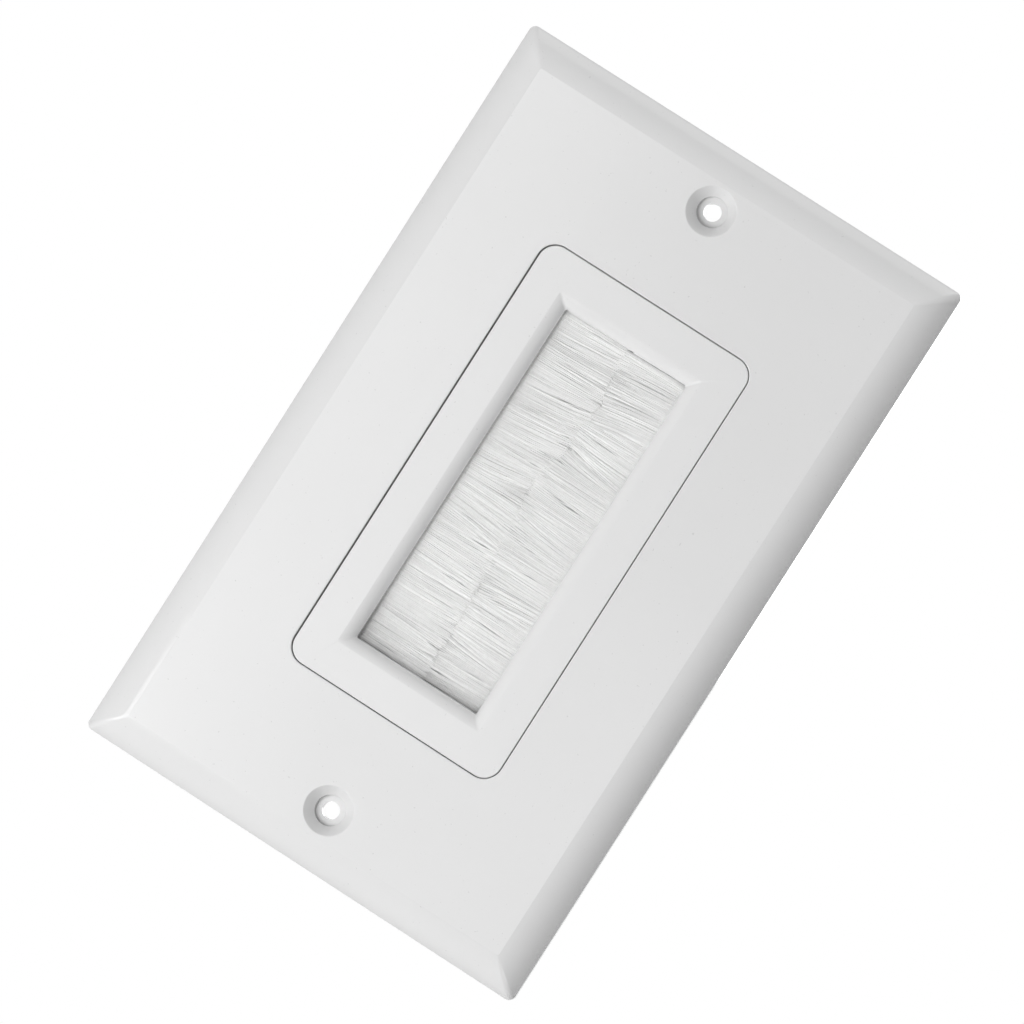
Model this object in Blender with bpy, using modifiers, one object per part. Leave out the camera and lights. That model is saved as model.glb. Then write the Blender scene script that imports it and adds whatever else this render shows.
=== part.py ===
"""Single-gang brush wall plate: a moulded cover round an insert that holds two facing brush strips.

Every piece is drawn face on, in the plane of the wall: x to the right, y up, z out of the wall.
The empty wall_frame turns that drawing upright, so that the plate stands along +Z, faces -Y and
has the wall in the plane y = 0, with the middle of the cover at the origin. Lengths are in metres.
"""

import math
import random

import bmesh
import bpy
from mathutils import Matrix, Vector

# Cover
PLATE_WIDTH = 0.06985
PLATE_HEIGHT = 0.1143
PLATE_DEPTH = 0.0056
PLATE_WALL = 0.0022
RIM_HEIGHT = 0.0019
RIM_WALL = 0.0018
RIM_CORNER = 0.0010
BEVEL_WIDTH = 0.0047
BEVEL_FACE_SLOPE = math.radians(12)
BEVEL_RIM_SLOPE = math.radians(64)
MITRE_CORNER = 0.0003
HOLLOW_INSET = 0.0009
HOLLOW_LAND = 0.00045

# Opening in the cover, and the screws that hold the cover on the insert
OPENING_WIDTH = 0.03375
END_BAND = 0.023475
OPENING_CORNER = 0.0028
EDGE_ROUND = 0.00015
COVER_SCREW_INSET = 0.00873
COVER_SCREW_HOLE = 0.0043
COUNTERSINK_WIDTH = 0.00695
COUNTERSINK_DEPTH = 0.0017

# Stiffening ribs inside the cover
RIB_THICKNESS = 0.0011
RIB_ABOVE_WALL = 0.0008
RIB_CLEARANCE = 0.0009
RIB_PITCH = 0.0170
RIBS_PER_SIDE = 5

# Insert: strap with two ears, bezel and tray
FACE_GAP = 0.00025
SEAT_GAP = 0.0003
STRAP_THICKNESS = 0.0020
FLANGE_OVERLAP = 0.0026
FLANGE_CORNER = 0.0030
EAR_WIDTH = 0.0240
EAR_END = 0.0032
EAR_FILLET = 0.0025
EAR_SHOULDER = 0.0006
TAPPED_HOLE = 0.0027
BOX_SLOT_INSET = 0.0155
BOX_SLOT_LENGTH = 0.0068
BOX_SLOT_WIDTH = 0.0038
BEZEL_SIDE_WALL = 0.00095
TRAY_WALL = 0.0017
TRAY_CORNER = 0.0020
CORE_WALL = 0.0013

# Window in the insert
BAND_WIDTH = 0.0051
LIP_WIDTH = 0.00175
LIP_DROP = 0.0023
LIP_LAND = 0.00055
LIP_FACE_SLOPE = math.radians(18)
LIP_WALL_SLOPE = math.radians(86)
SKIRT_WALL = 0.0008
END_LEDGE = 0.0011

# Brush strips: folded channel, core wire and filaments
CHANNEL_HEIGHT = 0.0046
CHANNEL_SHEET = 0.0005
CHANNEL_MOUTH = 0.0031
CRIMP_LENGTH = 0.0009
CHANNEL_BEND = 0.0008
WIRE_RADIUS = 0.00045
BUNDLE_WALL = 0.0007
BUNDLE_THICKNESS = 0.0024
TUFT_RADIUS = 0.00046
TUFT_PITCH = 0.00108
TUFT_BEND = 0.5
TUFT_TAPER = (1.0, 0.96, 0.78)
TIP_GAP = 0.0003
TIP_SPREAD = 0.0003
SEAM_WAVE = 0.00045
SEAM_WAVES = 4.3
SEAM_START = 0.6
CLUMP_LENGTH = 0.0043
CLUMP_PULL = 0.12
LEAN = 0.0007
LEAN_WAVES = 2.6
TUFT_SEED = 11

# Retainer frame behind the strips, and its screws
RETAINER_THICKNESS = 0.0020
COLLAR_REACH = 0.0010
COLLAR_CORNER = 0.0006
COLLAR_CROWN = 0.0002
RETAINER_HOLE = 0.0030
RETAINER_SCREW_INSET = 0.0046
SCREW_SHANK_RADIUS = 0.0010
SCREW_HEAD_RADIUS = 0.0022
SCREW_HEAD_HEIGHT = 0.0015
SCREW_HEAD_RIM = 0.0006
SCREW_LENGTH = 0.0058
SCREW_POINT = 0.0012
SCREW_TIP_RADIUS = 0.0003
PILOT_SPARE_DEPTH = 0.0006
RECESS_LENGTH = 0.0022
RECESS_WIDTH = 0.0006
RECESS_DEPTH = 0.0008

# Fineness of the round stretches
CORNER_STEPS = 6
MITRE_STEPS = 2
ROLL_STEPS = 6
TURN_STEPS = 24
SCREW_TURN_STEPS = 12
HEAD_STEPS = 4
WIRE_STEPS = 2
TUFT_STEPS = 1
CREASE = math.radians(28)
WELD = 1e-7
FLAT = 1e-3

# Half sizes (x, y) across the wall
PLATE_HALF = (PLATE_WIDTH / 2, PLATE_HEIGHT / 2)
OPENING_HALF = (OPENING_WIDTH / 2, PLATE_HALF[1] - END_BAND)


def grown(half, amount):
    """A half size made larger by the same amount on every side."""
    return (half[0] + amount, half[1] + amount)


FACE_HALF = grown(PLATE_HALF, -BEVEL_WIDTH)
HOLLOW_HALF = grown(PLATE_HALF, -RIM_WALL)
BEZEL_HALF = grown(OPENING_HALF, -FACE_GAP)
LIP_HALF = grown(BEZEL_HALF, -BAND_WIDTH)
WINDOW_HALF = grown(LIP_HALF, -LIP_WIDTH)
SKIRT_HALF = grown(WINDOW_HALF, SKIRT_WALL)
FLANGE_HALF = grown(OPENING_HALF, FLANGE_OVERLAP)
CAVITY_HALF = (BEZEL_HALF[0] - BEZEL_SIDE_WALL, WINDOW_HALF[1] + END_LEDGE)
TRAY_HALF = (CAVITY_HALF[0] + TRAY_WALL, BEZEL_HALF[1] + TRAY_WALL - BEZEL_SIDE_WALL)

# Levels above the wall
CEILING = PLATE_DEPTH - PLATE_WALL
STRAP_FRONT = CEILING - SEAT_GAP
STRAP_BACK = STRAP_FRONT - STRAP_THICKNESS
SKIRT_BACK = PLATE_DEPTH - LIP_DROP - LIP_LAND
BRISTLE_FRONT = SKIRT_BACK - SEAT_GAP
STRIP_LEVEL = BRISTLE_FRONT - BUNDLE_THICKNESS / 2
BRISTLE_BACK = STRIP_LEVEL - BUNDLE_THICKNESS / 2
POCKET_CEILING = STRIP_LEVEL + CHANNEL_HEIGHT / 2 + SEAT_GAP
TRAY_BACK = STRIP_LEVEL - CHANNEL_HEIGHT / 2
RETAINER_FRONT = TRAY_BACK - SEAT_GAP
RETAINER_BACK = RETAINER_FRONT - RETAINER_THICKNESS
SCREW_SEAT = RETAINER_BACK - SEAT_GAP

# Places across the wall, measured from the middle
COVER_SCREW_Y = PLATE_HALF[1] - COVER_SCREW_INSET
BOX_SLOT_Y = PLATE_HALF[1] - BOX_SLOT_INSET
CHANNEL_MOUTH_X = SKIRT_HALF[0] + SEAT_GAP
CHANNEL_SPINE_X = CAVITY_HALF[0] - SEAT_GAP
STRIP_HALF_LENGTH = CAVITY_HALF[1] - SEAT_GAP
WIRE_HOLE_RADIUS = WIRE_RADIUS + SEAT_GAP
BUNDLE_RADIUS = WIRE_HOLE_RADIUS + BUNDLE_WALL
WIRE_X = CHANNEL_SPINE_X - CHANNEL_SHEET - SEAT_GAP - BUNDLE_RADIUS
ROOT_FRONT_X = SKIRT_HALF[0] - SEAT_GAP
EAR_HALF_HEIGHT = COVER_SCREW_Y + EAR_END
RETAINER_SCREW_X = TRAY_HALF[0] - RETAINER_SCREW_INSET
RETAINER_SCREW_Y = (CAVITY_HALF[1] + TRAY_HALF[1]) / 2

JOIN = 0.0005
OVERSHOOT = 0.0010


def arc(centre, radius, start, end, steps):
    """Points on a circular arc, both ends included."""
    angles = [start + (end - start) * step / steps for step in range(steps + 1)]
    return [(centre[0] + radius * math.cos(a), centre[1] + radius * math.sin(a)) for a in angles]


def circle(centre, radius, steps=TURN_STEPS):
    """Points round a circle, the last one not repeated."""
    return arc(centre, radius, 0, math.tau, steps)[:-1]


def rounded_rectangle(half, radius, steps=CORNER_STEPS, centre=(0, 0)):
    """Outline of a rectangle with round corners, anticlockwise from its upper right one."""
    points = []
    for quarter, (right, up) in enumerate(((1, 1), (-1, 1), (-1, -1), (1, -1))):
        middle = (
            centre[0] + right * (half[0] - radius),
            centre[1] + up * (half[1] - radius),
        )
        start = quarter * math.pi / 2
        points += arc(middle, radius, start, start + math.pi / 2, steps)
    return points


def slot_outline(centre, length, width, steps=CORNER_STEPS):
    """Outline of a slot along x with round ends."""
    radius = width / 2
    reach = length / 2 - radius
    points = arc((centre[0] + reach, centre[1]), radius, -math.pi / 2, math.pi / 2, 2 * steps)
    turn = 3 * math.pi / 2
    points += arc((centre[0] - reach, centre[1]), radius, math.pi / 2, turn, 2 * steps)
    return points


def filleted_outline(corners, steps=CORNER_STEPS):
    """Outline through (x, y, radius) corners, each replaced by an arc tangent to its two sides."""
    points = []
    for index, (x, y, radius) in enumerate(corners):
        before = corners[index - 1]
        after = corners[(index + 1) % len(corners)]
        into = math.atan2(y - before[1], x - before[0])
        out = math.atan2(after[1] - y, after[0] - x)
        turn = math.remainder(out - into, math.tau)
        side = math.copysign(1, turn)
        reach = radius * math.tan(abs(turn) / 2)
        centre = (
            x - reach * math.cos(into) - side * radius * math.sin(into),
            y - reach * math.sin(into) + side * radius * math.cos(into),
        )
        start = into - side * math.pi / 2
        points += arc(centre, radius, start, start + turn, steps)
    return points


def rolled_edge(width, drop, first_slope, last_slope, steps=ROLL_STEPS):
    """(outward, down) steps of an arc that leaves a face at first_slope and ends at last_slope."""
    points = []
    for step in range(steps + 1):
        slope = first_slope + (last_slope - first_slope) * step / steps
        across = math.sin(slope) - math.sin(first_slope)
        down = math.cos(first_slope) - math.cos(slope)
        across /= math.sin(last_slope) - math.sin(first_slope)
        down /= math.cos(first_slope) - math.cos(last_slope)
        points.append((width * across, drop * down))
    return points


def add_object(name, data, collection):
    """An object of the given mesh or curve, hung on the wall frame."""
    obj = bpy.data.objects.new(name, data)
    collection.objects.link(obj)
    obj.parent = bpy.data.objects["wall_frame"]
    return obj


def mesh_object(name, bm, collection):
    """An object of the finished bmesh, with its faces turned outwards and its flats kept crisp."""
    bmesh.ops.recalc_face_normals(bm, faces=bm.faces)
    mesh = bpy.data.meshes.new(name)
    bm.to_mesh(mesh)
    bm.free()
    mesh.shade_smooth()
    mesh.set_sharp_from_angle(angle=CREASE)
    return add_object(name, mesh, collection)


def loft(name, sections, collection, steps=CORNER_STEPS, ring=False):
    """Rounded rectangles (half, radius, z) skinned in order, capped, or joined last to first."""
    bm = bmesh.new()
    loops = []
    for half, radius, level in sections:
        outline = rounded_rectangle(half, radius, steps)
        loops.append([bm.verts.new((x, y, level)) for x, y in outline])
    pairs = list(zip(loops, loops[1:]))
    if ring:
        pairs.append((loops[-1], loops[0]))
    else:
        bm.faces.new(loops[0])
        bm.faces.new(loops[-1])
    for lower, upper in pairs:
        for index in range(len(lower)):
            following = (index + 1) % len(lower)
            bm.faces.new((lower[index], lower[following], upper[following], upper[index]))
    return mesh_object(name, bm, collection)


def curve_to_mesh(obj, collection):
    """The curve object remade as a mesh object in place, caps welded on and flats made whole."""
    bpy.context.view_layer.update()
    evaluated = obj.evaluated_get(bpy.context.evaluated_depsgraph_get())
    mesh = bpy.data.meshes.new_from_object(evaluated)
    bm = bmesh.new()
    bm.from_mesh(mesh)
    bmesh.ops.remove_doubles(bm, verts=bm.verts, dist=WELD)
    bmesh.ops.dissolve_limit(bm, angle_limit=FLAT, verts=bm.verts, edges=bm.edges)
    bpy.data.meshes.remove(mesh)
    place = obj.matrix_basis.copy()
    name = obj.name
    bpy.data.objects.remove(obj)
    solid = mesh_object(name, bm, collection)
    solid.matrix_basis = place
    return solid


def outline_solid(name, outlines, low, high, collection):
    """A flat outline, with any holes as further outlines, as thick as from low to high."""
    curve = bpy.data.curves.new(name, "CURVE")
    curve.dimensions = "2D"
    curve.fill_mode = "BOTH"
    curve.extrude = (high - low) / 2
    for outline in outlines:
        spline = curve.splines.new("POLY")
        spline.points.add(len(outline) - 1)
        spline.use_cyclic_u = True
        for point, (x, y) in zip(spline.points, outline):
            point.co = (x, y, 0, 1)
    obj = add_object(name, curve, collection)
    obj.location.z = (low + high) / 2
    return curve_to_mesh(obj, collection)


def section_solid(name, outlines, half_length, collection):
    """A cross-section drawn in x and z, run along y to half_length on both sides."""
    solid = outline_solid(name, outlines, -half_length, half_length, collection)
    solid.rotation_euler.x = math.pi / 2
    return solid


def turned_solid(name, profile, collection, steps=TURN_STEPS):
    """A (radius, z) profile, listed from top to bottom, turned round the z axis."""
    bm = bmesh.new()
    verts = [bm.verts.new((radius, 0, level)) for radius, level in profile]
    for upper, lower in zip(verts, verts[1:]):
        bm.edges.new((upper, lower))
    mesh = bpy.data.meshes.new(name)
    bm.to_mesh(mesh)
    bm.free()
    obj = add_object(name, mesh, collection)
    screw = obj.modifiers.new("turn", "SCREW")
    screw.steps = steps
    screw.render_steps = steps
    screw.use_merge_vertices = True
    screw.merge_threshold = 1e-6
    screw.use_smooth_shade = False
    return obj


def combine(obj, other, operation):
    """Joins the other solid to the object, or cuts it out, and keeps it as a hidden guide."""
    modifier = obj.modifiers.new(f"{operation.lower()}_{other.name}", "BOOLEAN")
    modifier.operation = operation
    modifier.solver = "EXACT"
    modifier.object = other
    other.hide_render = True
    other.display_type = "WIRE"


def paint(obj, colour, roughness, metallic=0.0):
    """Gives the object a material of its own."""
    material = bpy.data.materials.new(f"{obj.name}_finish")
    material.use_nodes = True
    shader = material.node_tree.nodes["Principled BSDF"]
    shader.inputs["Base Color"].default_value = (*colour, 1.0)
    shader.inputs["Roughness"].default_value = roughness
    shader.inputs["Metallic"].default_value = metallic
    obj.data.materials.clear()
    obj.data.materials.append(material)


def rib_outline(hollow, inner, outer):
    """(outward, level) outline of a rib whose far end is sunk a little into the cover's wall."""
    points = [(inner, RIB_ABOVE_WALL), (inner, CEILING + JOIN)]
    for outward, down in hollow:
        level = max(CEILING + JOIN / 2 - down, RIB_ABOVE_WALL)
        points.append((outer + outward - hollow[-1][0] + JOIN / 2, level))
    return points


def add_rib(bm, outline, middle, turn):
    """A blade of the rib thickness on the outline, moved sideways and turned about z."""
    place = Matrix.Rotation(turn, 4, "Z") @ Matrix.Translation((0, middle, 0))
    verts = [
        bm.verts.new(place @ Vector((outward, -RIB_THICKNESS / 2, level)))
        for outward, level in outline
    ]
    face = bm.faces.new(verts)
    extruded = bmesh.ops.extrude_face_region(bm, geom=[face])["geom"]
    moved = [item for item in extruded if isinstance(item, bmesh.types.BMVert)]
    across = place.to_3x3() @ Vector((0, RIB_THICKNESS, 0))
    bmesh.ops.translate(bm, verts=moved, vec=across)


def cover_ribs(hollow, cutters):
    """Blades from the rim to the insert's flange, and two beside each ear."""
    bm = bmesh.new()
    outline = rib_outline(hollow, FLANGE_HALF[0] + RIB_CLEARANCE, HOLLOW_HALF[0])
    for index in range(RIBS_PER_SIDE):
        middle = (index - (RIBS_PER_SIDE - 1) / 2) * RIB_PITCH
        add_rib(bm, outline, middle, 0)
        add_rib(bm, outline, middle, math.pi)
    beside_ear = EAR_WIDTH / 2 + RIB_CLEARANCE + RIB_THICKNESS / 2
    inner = FLANGE_HALF[1] + EAR_SHOULDER + EAR_FILLET + RIB_CLEARANCE
    outline = rib_outline(hollow, inner, HOLLOW_HALF[1])
    for turn in (math.pi / 2, -math.pi / 2):
        add_rib(bm, outline, beside_ear, turn)
        add_rib(bm, outline, -beside_ear, turn)
    return mesh_object("cover_ribs", bm, cutters)


def build_wall_plate(parts, cutters):
    """Hollow cover: rolled bevel outside, opening for the insert, ribs inside, two screw holes."""
    sections = [(PLATE_HALF, RIM_CORNER, 0.0)]
    bevel = rolled_edge(
        BEVEL_WIDTH, PLATE_DEPTH - RIM_HEIGHT, BEVEL_FACE_SLOPE, BEVEL_RIM_SLOPE
    )
    for outward, down in reversed(bevel):
        corner = MITRE_CORNER + (RIM_CORNER - MITRE_CORNER) * outward / BEVEL_WIDTH
        sections.append((grown(FACE_HALF, outward), corner, PLATE_DEPTH - down))
    sections += [
        (grown(OPENING_HALF, EDGE_ROUND), OPENING_CORNER + EDGE_ROUND, PLATE_DEPTH),
        (OPENING_HALF, OPENING_CORNER, PLATE_DEPTH - EDGE_ROUND),
        (OPENING_HALF, OPENING_CORNER, CEILING),
    ]
    hollow = rolled_edge(
        BEVEL_WIDTH - HOLLOW_INSET, CEILING - HOLLOW_LAND, BEVEL_FACE_SLOPE, BEVEL_RIM_SLOPE
    )
    for outward, down in hollow:
        half = grown(HOLLOW_HALF, outward - hollow[-1][0])
        sections.append((half, RIM_CORNER, CEILING - down))
    sections.append((HOLLOW_HALF, RIM_CORNER, 0.0))
    plate = loft("wall_plate", sections, parts, ring=True)

    combine(plate, cover_ribs(hollow, cutters), "UNION")

    flare = (COUNTERSINK_WIDTH - COVER_SCREW_HOLE) / 2 / COUNTERSINK_DEPTH
    profile = [
        (0.0, PLATE_DEPTH + OVERSHOOT),
        (COUNTERSINK_WIDTH / 2 + flare * OVERSHOOT, PLATE_DEPTH + OVERSHOOT),
        (COVER_SCREW_HOLE / 2, PLATE_DEPTH - COUNTERSINK_DEPTH),
        (COVER_SCREW_HOLE / 2, CEILING - OVERSHOOT),
        (0.0, CEILING - OVERSHOOT),
    ]
    for name, up in (("cover_screw_hole_top", 1), ("cover_screw_hole_bottom", -1)):
        hole = turned_solid(name, profile, cutters)
        hole.location.y = up * COVER_SCREW_Y
        combine(plate, hole, "DIFFERENCE")
    paint(plate, (0.80, 0.80, 0.80), 0.28)


def strap_outlines():
    """The strap's outer edge, with its ears, then its tapped holes and box screw slots."""
    ear, flange = EAR_WIDTH / 2, FLANGE_HALF
    quarter = [
        (flange[0], flange[1], FLANGE_CORNER),
        (ear, flange[1] + EAR_SHOULDER, EAR_FILLET),
        (ear, EAR_HALF_HEIGHT, EAR_FILLET),
    ]
    half = quarter + [(-x, y, radius) for x, y, radius in reversed(quarter)]
    corners = half + [(-x, -y, radius) for x, y, radius in half]
    outlines = [filleted_outline(corners)]
    for up in (1, -1):
        outlines.append(circle((0, up * COVER_SCREW_Y), TAPPED_HOLE / 2))
        centre = (0, up * BOX_SLOT_Y)
        outlines.append(slot_outline(centre, BOX_SLOT_LENGTH, BOX_SLOT_WIDTH, CORNER_STEPS // 2))
    return outlines


def build_insert_frame(parts, cutters):
    """Bezel flush with the cover, strap with ears behind it, and a tray that takes the strips."""
    corner = OPENING_CORNER - FACE_GAP
    sections = [
        (BEZEL_HALF, corner, STRAP_FRONT - JOIN),
        (BEZEL_HALF, corner, PLATE_DEPTH - EDGE_ROUND),
        (grown(BEZEL_HALF, -EDGE_ROUND), corner - EDGE_ROUND, PLATE_DEPTH),
    ]
    frame = loft("insert_frame", sections, parts)
    strap = outline_solid("strap", strap_outlines(), STRAP_BACK, STRAP_FRONT, cutters)
    combine(frame, strap, "UNION")
    tray_outline = rounded_rectangle(TRAY_HALF, TRAY_CORNER)
    tray = outline_solid("tray", [tray_outline], TRAY_BACK, STRAP_BACK + JOIN, cutters)
    combine(frame, tray, "UNION")

    side, skirt = CAVITY_HALF[0], SKIRT_HALF[0]
    half_section = [
        (side, TRAY_BACK - OVERSHOOT),
        (side, POCKET_CEILING),
        (skirt, POCKET_CEILING),
        (skirt, SKIRT_BACK),
    ]
    section = half_section + [(-x, level) for x, level in reversed(half_section)]
    cavity = section_solid("strip_cavity", [section], CAVITY_HALF[1], cutters)
    combine(frame, cavity, "DIFFERENCE")

    sections = [(WINDOW_HALF, MITRE_CORNER, SKIRT_BACK - OVERSHOOT)]
    lip = rolled_edge(LIP_WIDTH, LIP_DROP, LIP_FACE_SLOPE, LIP_WALL_SLOPE)
    for inward, down in reversed(lip):
        sections.append((grown(LIP_HALF, -inward), MITRE_CORNER, PLATE_DEPTH - down))
    sections.append((grown(LIP_HALF, OVERSHOOT), MITRE_CORNER, PLATE_DEPTH + OVERSHOOT))
    window = loft("window", sections, cutters, steps=MITRE_STEPS)
    combine(frame, window, "DIFFERENCE")

    pilot_top = SCREW_SEAT + SCREW_LENGTH + PILOT_SPARE_DEPTH
    radius = SCREW_SHANK_RADIUS + SEAT_GAP
    core_top = pilot_top - PILOT_SPARE_DEPTH
    core_x = RETAINER_SCREW_X - radius - CORE_WALL
    core_low = CAVITY_HALF[1] + CORE_WALL
    core_high = TRAY_HALF[1] - CORE_WALL
    for up in (1, -1):
        core_half = (core_x, (core_high - core_low) / 2)
        core_centre = (0, up * (core_high + core_low) / 2)
        outline = rounded_rectangle(core_half, MITRE_CORNER, MITRE_STEPS, core_centre)
        name = f"end_core_{'top' if up > 0 else 'bottom'}"
        core = outline_solid(name, [outline], TRAY_BACK - OVERSHOOT, core_top, cutters)
        combine(frame, core, "DIFFERENCE")
    for number, centre in enumerate(retainer_screw_places(), start=1):
        outline = circle(centre, radius, SCREW_TURN_STEPS)
        name = f"pilot_hole_{number}"
        pilot = outline_solid(name, [outline], TRAY_BACK - OVERSHOOT, pilot_top, cutters)
        combine(frame, pilot, "DIFFERENCE")
    paint(frame, (0.82, 0.82, 0.82), 0.30)


def retainer_screw_places():
    """Centres of the four screws that hold the retainer, anticlockwise."""
    x, y = RETAINER_SCREW_X, RETAINER_SCREW_Y
    return [(x, y), (-x, y), (-x, -y), (x, -y)]


def build_back_frame(parts, cutters):
    """Retainer that closes the tray behind the strips, with a collar round the cable way."""
    outlines = [
        rounded_rectangle(TRAY_HALF, TRAY_CORNER),
        rounded_rectangle(grown(WINDOW_HALF, SKIRT_WALL / 2), MITRE_CORNER, MITRE_STEPS),
    ]
    for centre in retainer_screw_places():
        outlines.append(circle(centre, RETAINER_HOLE / 2, SCREW_TURN_STEPS))
    frame = outline_solid("back_frame", outlines, RETAINER_BACK, RETAINER_FRONT, parts)
    low = RETAINER_BACK - COLLAR_REACH
    high = BRISTLE_BACK - SEAT_GAP
    crown = COLLAR_CROWN
    sections = [
        (grown(SKIRT_HALF, -crown), COLLAR_CORNER - crown, low),
        (SKIRT_HALF, COLLAR_CORNER, low + crown),
        (SKIRT_HALF, COLLAR_CORNER, high - crown),
        (grown(SKIRT_HALF, -crown), COLLAR_CORNER - crown, high),
        (grown(WINDOW_HALF, crown), MITRE_CORNER, high),
        (WINDOW_HALF, MITRE_CORNER, high - crown),
        (WINDOW_HALF, MITRE_CORNER, low + crown),
        (grown(WINDOW_HALF, crown), MITRE_CORNER, low),
    ]
    collar = loft("cable_collar", sections, cutters, steps=MITRE_STEPS, ring=True)
    combine(frame, collar, "UNION")
    paint(frame, (0.78, 0.78, 0.78), 0.40)


def cross_outline(reach, half_width):
    """Outline of a cross recess: four wings that narrow by a third towards their ends."""
    points = []
    for quarter in range(4):
        turn = quarter * math.pi / 2
        wing = [(half_width, -half_width), (reach, -half_width * 2 / 3), (reach, half_width * 2 / 3)]
        for x, y in wing:
            points.append((
                x * math.cos(turn) - y * math.sin(turn),
                x * math.sin(turn) + y * math.cos(turn),
            ))
    return points


def build_retainer_screws(parts, cutters):
    """Pan-head tapping screws, driven from behind, with a cross recess."""
    shank, head = SCREW_SHANK_RADIUS, SCREW_HEAD_RADIUS
    tip = SCREW_SEAT + SCREW_LENGTH
    rim = SCREW_SEAT - SCREW_HEAD_RIM
    top = SCREW_SEAT - SCREW_HEAD_HEIGHT
    profile = [(0.0, tip), (SCREW_TIP_RADIUS, tip)]
    profile += [(shank, tip - SCREW_POINT), (shank, SCREW_SEAT), (head, SCREW_SEAT)]
    for step in range(HEAD_STEPS):
        angle = math.pi / 2 * step / HEAD_STEPS
        profile.append((head * math.cos(angle), rim + (top - rim) * math.sin(angle)))
    profile.append((0.0, top))
    for number, (x, y) in enumerate(retainer_screw_places(), start=1):
        screw = turned_solid(f"retainer_screw_{number}", profile, parts, SCREW_TURN_STEPS)
        screw.location = (x, y, 0.0)
        name = f"cross_recess_{number}"
        outline = cross_outline(RECESS_LENGTH / 2, RECESS_WIDTH / 2)
        recess = outline_solid(name, [outline], top - OVERSHOOT, top + RECESS_DEPTH, cutters)
        recess.location.x, recess.location.y = x, y
        combine(screw, recess, "DIFFERENCE")
        paint(screw, (0.62, 0.63, 0.64), 0.35, 1.0)


def build_channel(side, name, parts):
    """Sheet folded to a channel round the bundle, crimped in at the mouth that faces the middle."""
    mouth = CHANNEL_MOUTH / 2 + CHANNEL_SHEET / 2
    leg = CHANNEL_HEIGHT / 2 - CHANNEL_SHEET / 2
    spine = CHANNEL_SPINE_X - CHANNEL_SHEET / 2
    upper = [
        (CHANNEL_MOUTH_X, mouth),
        (CHANNEL_MOUTH_X + CRIMP_LENGTH, mouth),
        (CHANNEL_MOUTH_X + 2 * CRIMP_LENGTH, leg),
    ]
    bend_centre = (spine - CHANNEL_BEND, leg - CHANNEL_BEND)
    upper += arc(bend_centre, CHANNEL_BEND, math.pi / 2, 0, CORNER_STEPS // 2)
    path = upper + [(x, -level) for x, level in reversed(upper)]
    bm = bmesh.new()
    rows = []
    for y in (-STRIP_HALF_LENGTH, STRIP_HALF_LENGTH):
        rows.append([bm.verts.new((side * x, y, STRIP_LEVEL + level)) for x, level in path])
    for index in range(len(path) - 1):
        bm.faces.new(
            (rows[0][index], rows[0][index + 1], rows[1][index + 1], rows[1][index])
        )
    channel = mesh_object(name, bm, parts)
    fold = channel.modifiers.new("sheet", "SOLIDIFY")
    fold.thickness = CHANNEL_SHEET
    fold.offset = 0.0
    fold.use_even_offset = True
    paint(channel, (0.66, 0.67, 0.68), 0.38, 1.0)


def build_core_wire(side, name, parts):
    """Straight wire that the filaments are folded round."""
    curve = bpy.data.curves.new(name, "CURVE")
    curve.dimensions = "3D"
    curve.bevel_depth = WIRE_RADIUS
    curve.bevel_resolution = WIRE_STEPS
    curve.use_fill_caps = True
    spline = curve.splines.new("POLY")
    spline.points.add(1)
    for point, y in zip(spline.points, (-STRIP_HALF_LENGTH, STRIP_HALF_LENGTH)):
        point.co = (side * WIRE_X, y, STRIP_LEVEL, 1)
    wire = add_object(name, curve, parts)
    paint(wire, (0.55, 0.56, 0.58), 0.35, 1.0)


def seam_at(y, row):
    """Where the two brushes meet at height y: the front and back rows wave opposite ways."""
    phase = y / WINDOW_HALF[1]
    return row * SEAM_WAVE * (2 + math.sin(SEAM_WAVES * phase + SEAM_START)) / 3


def tuft_path(side, root_y, row, chance):
    """Root, bend and tip of a tuft: tufts gather in clumps towards their tips and lean a little."""
    clump = (math.floor(root_y / CLUMP_LENGTH) + 0.5) * CLUMP_LENGTH
    lean = LEAN * math.sin(side + LEAN_WAVES * root_y / WINDOW_HALF[1])
    tip_y = root_y + (clump - root_y) * CLUMP_PULL + lean
    limit = STRIP_HALF_LENGTH - TUFT_RADIUS
    tip_y = max(-limit, min(limit, tip_y))
    back_off = TIP_GAP / 2 + TIP_SPREAD * chance.random()
    tip_x = seam_at(tip_y, row) + side * back_off
    root_x = side * (ROOT_FRONT_X + JOIN)
    level = STRIP_LEVEL + row * (BUNDLE_THICKNESS / 2 - TUFT_RADIUS)
    bend_x = root_x + (tip_x - root_x) * TUFT_BEND
    bend_y = root_y + (tip_y - root_y) * TUFT_BEND ** 2
    return [(root_x, root_y, level), (bend_x, bend_y, level), (tip_x, tip_y, level)]


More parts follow.
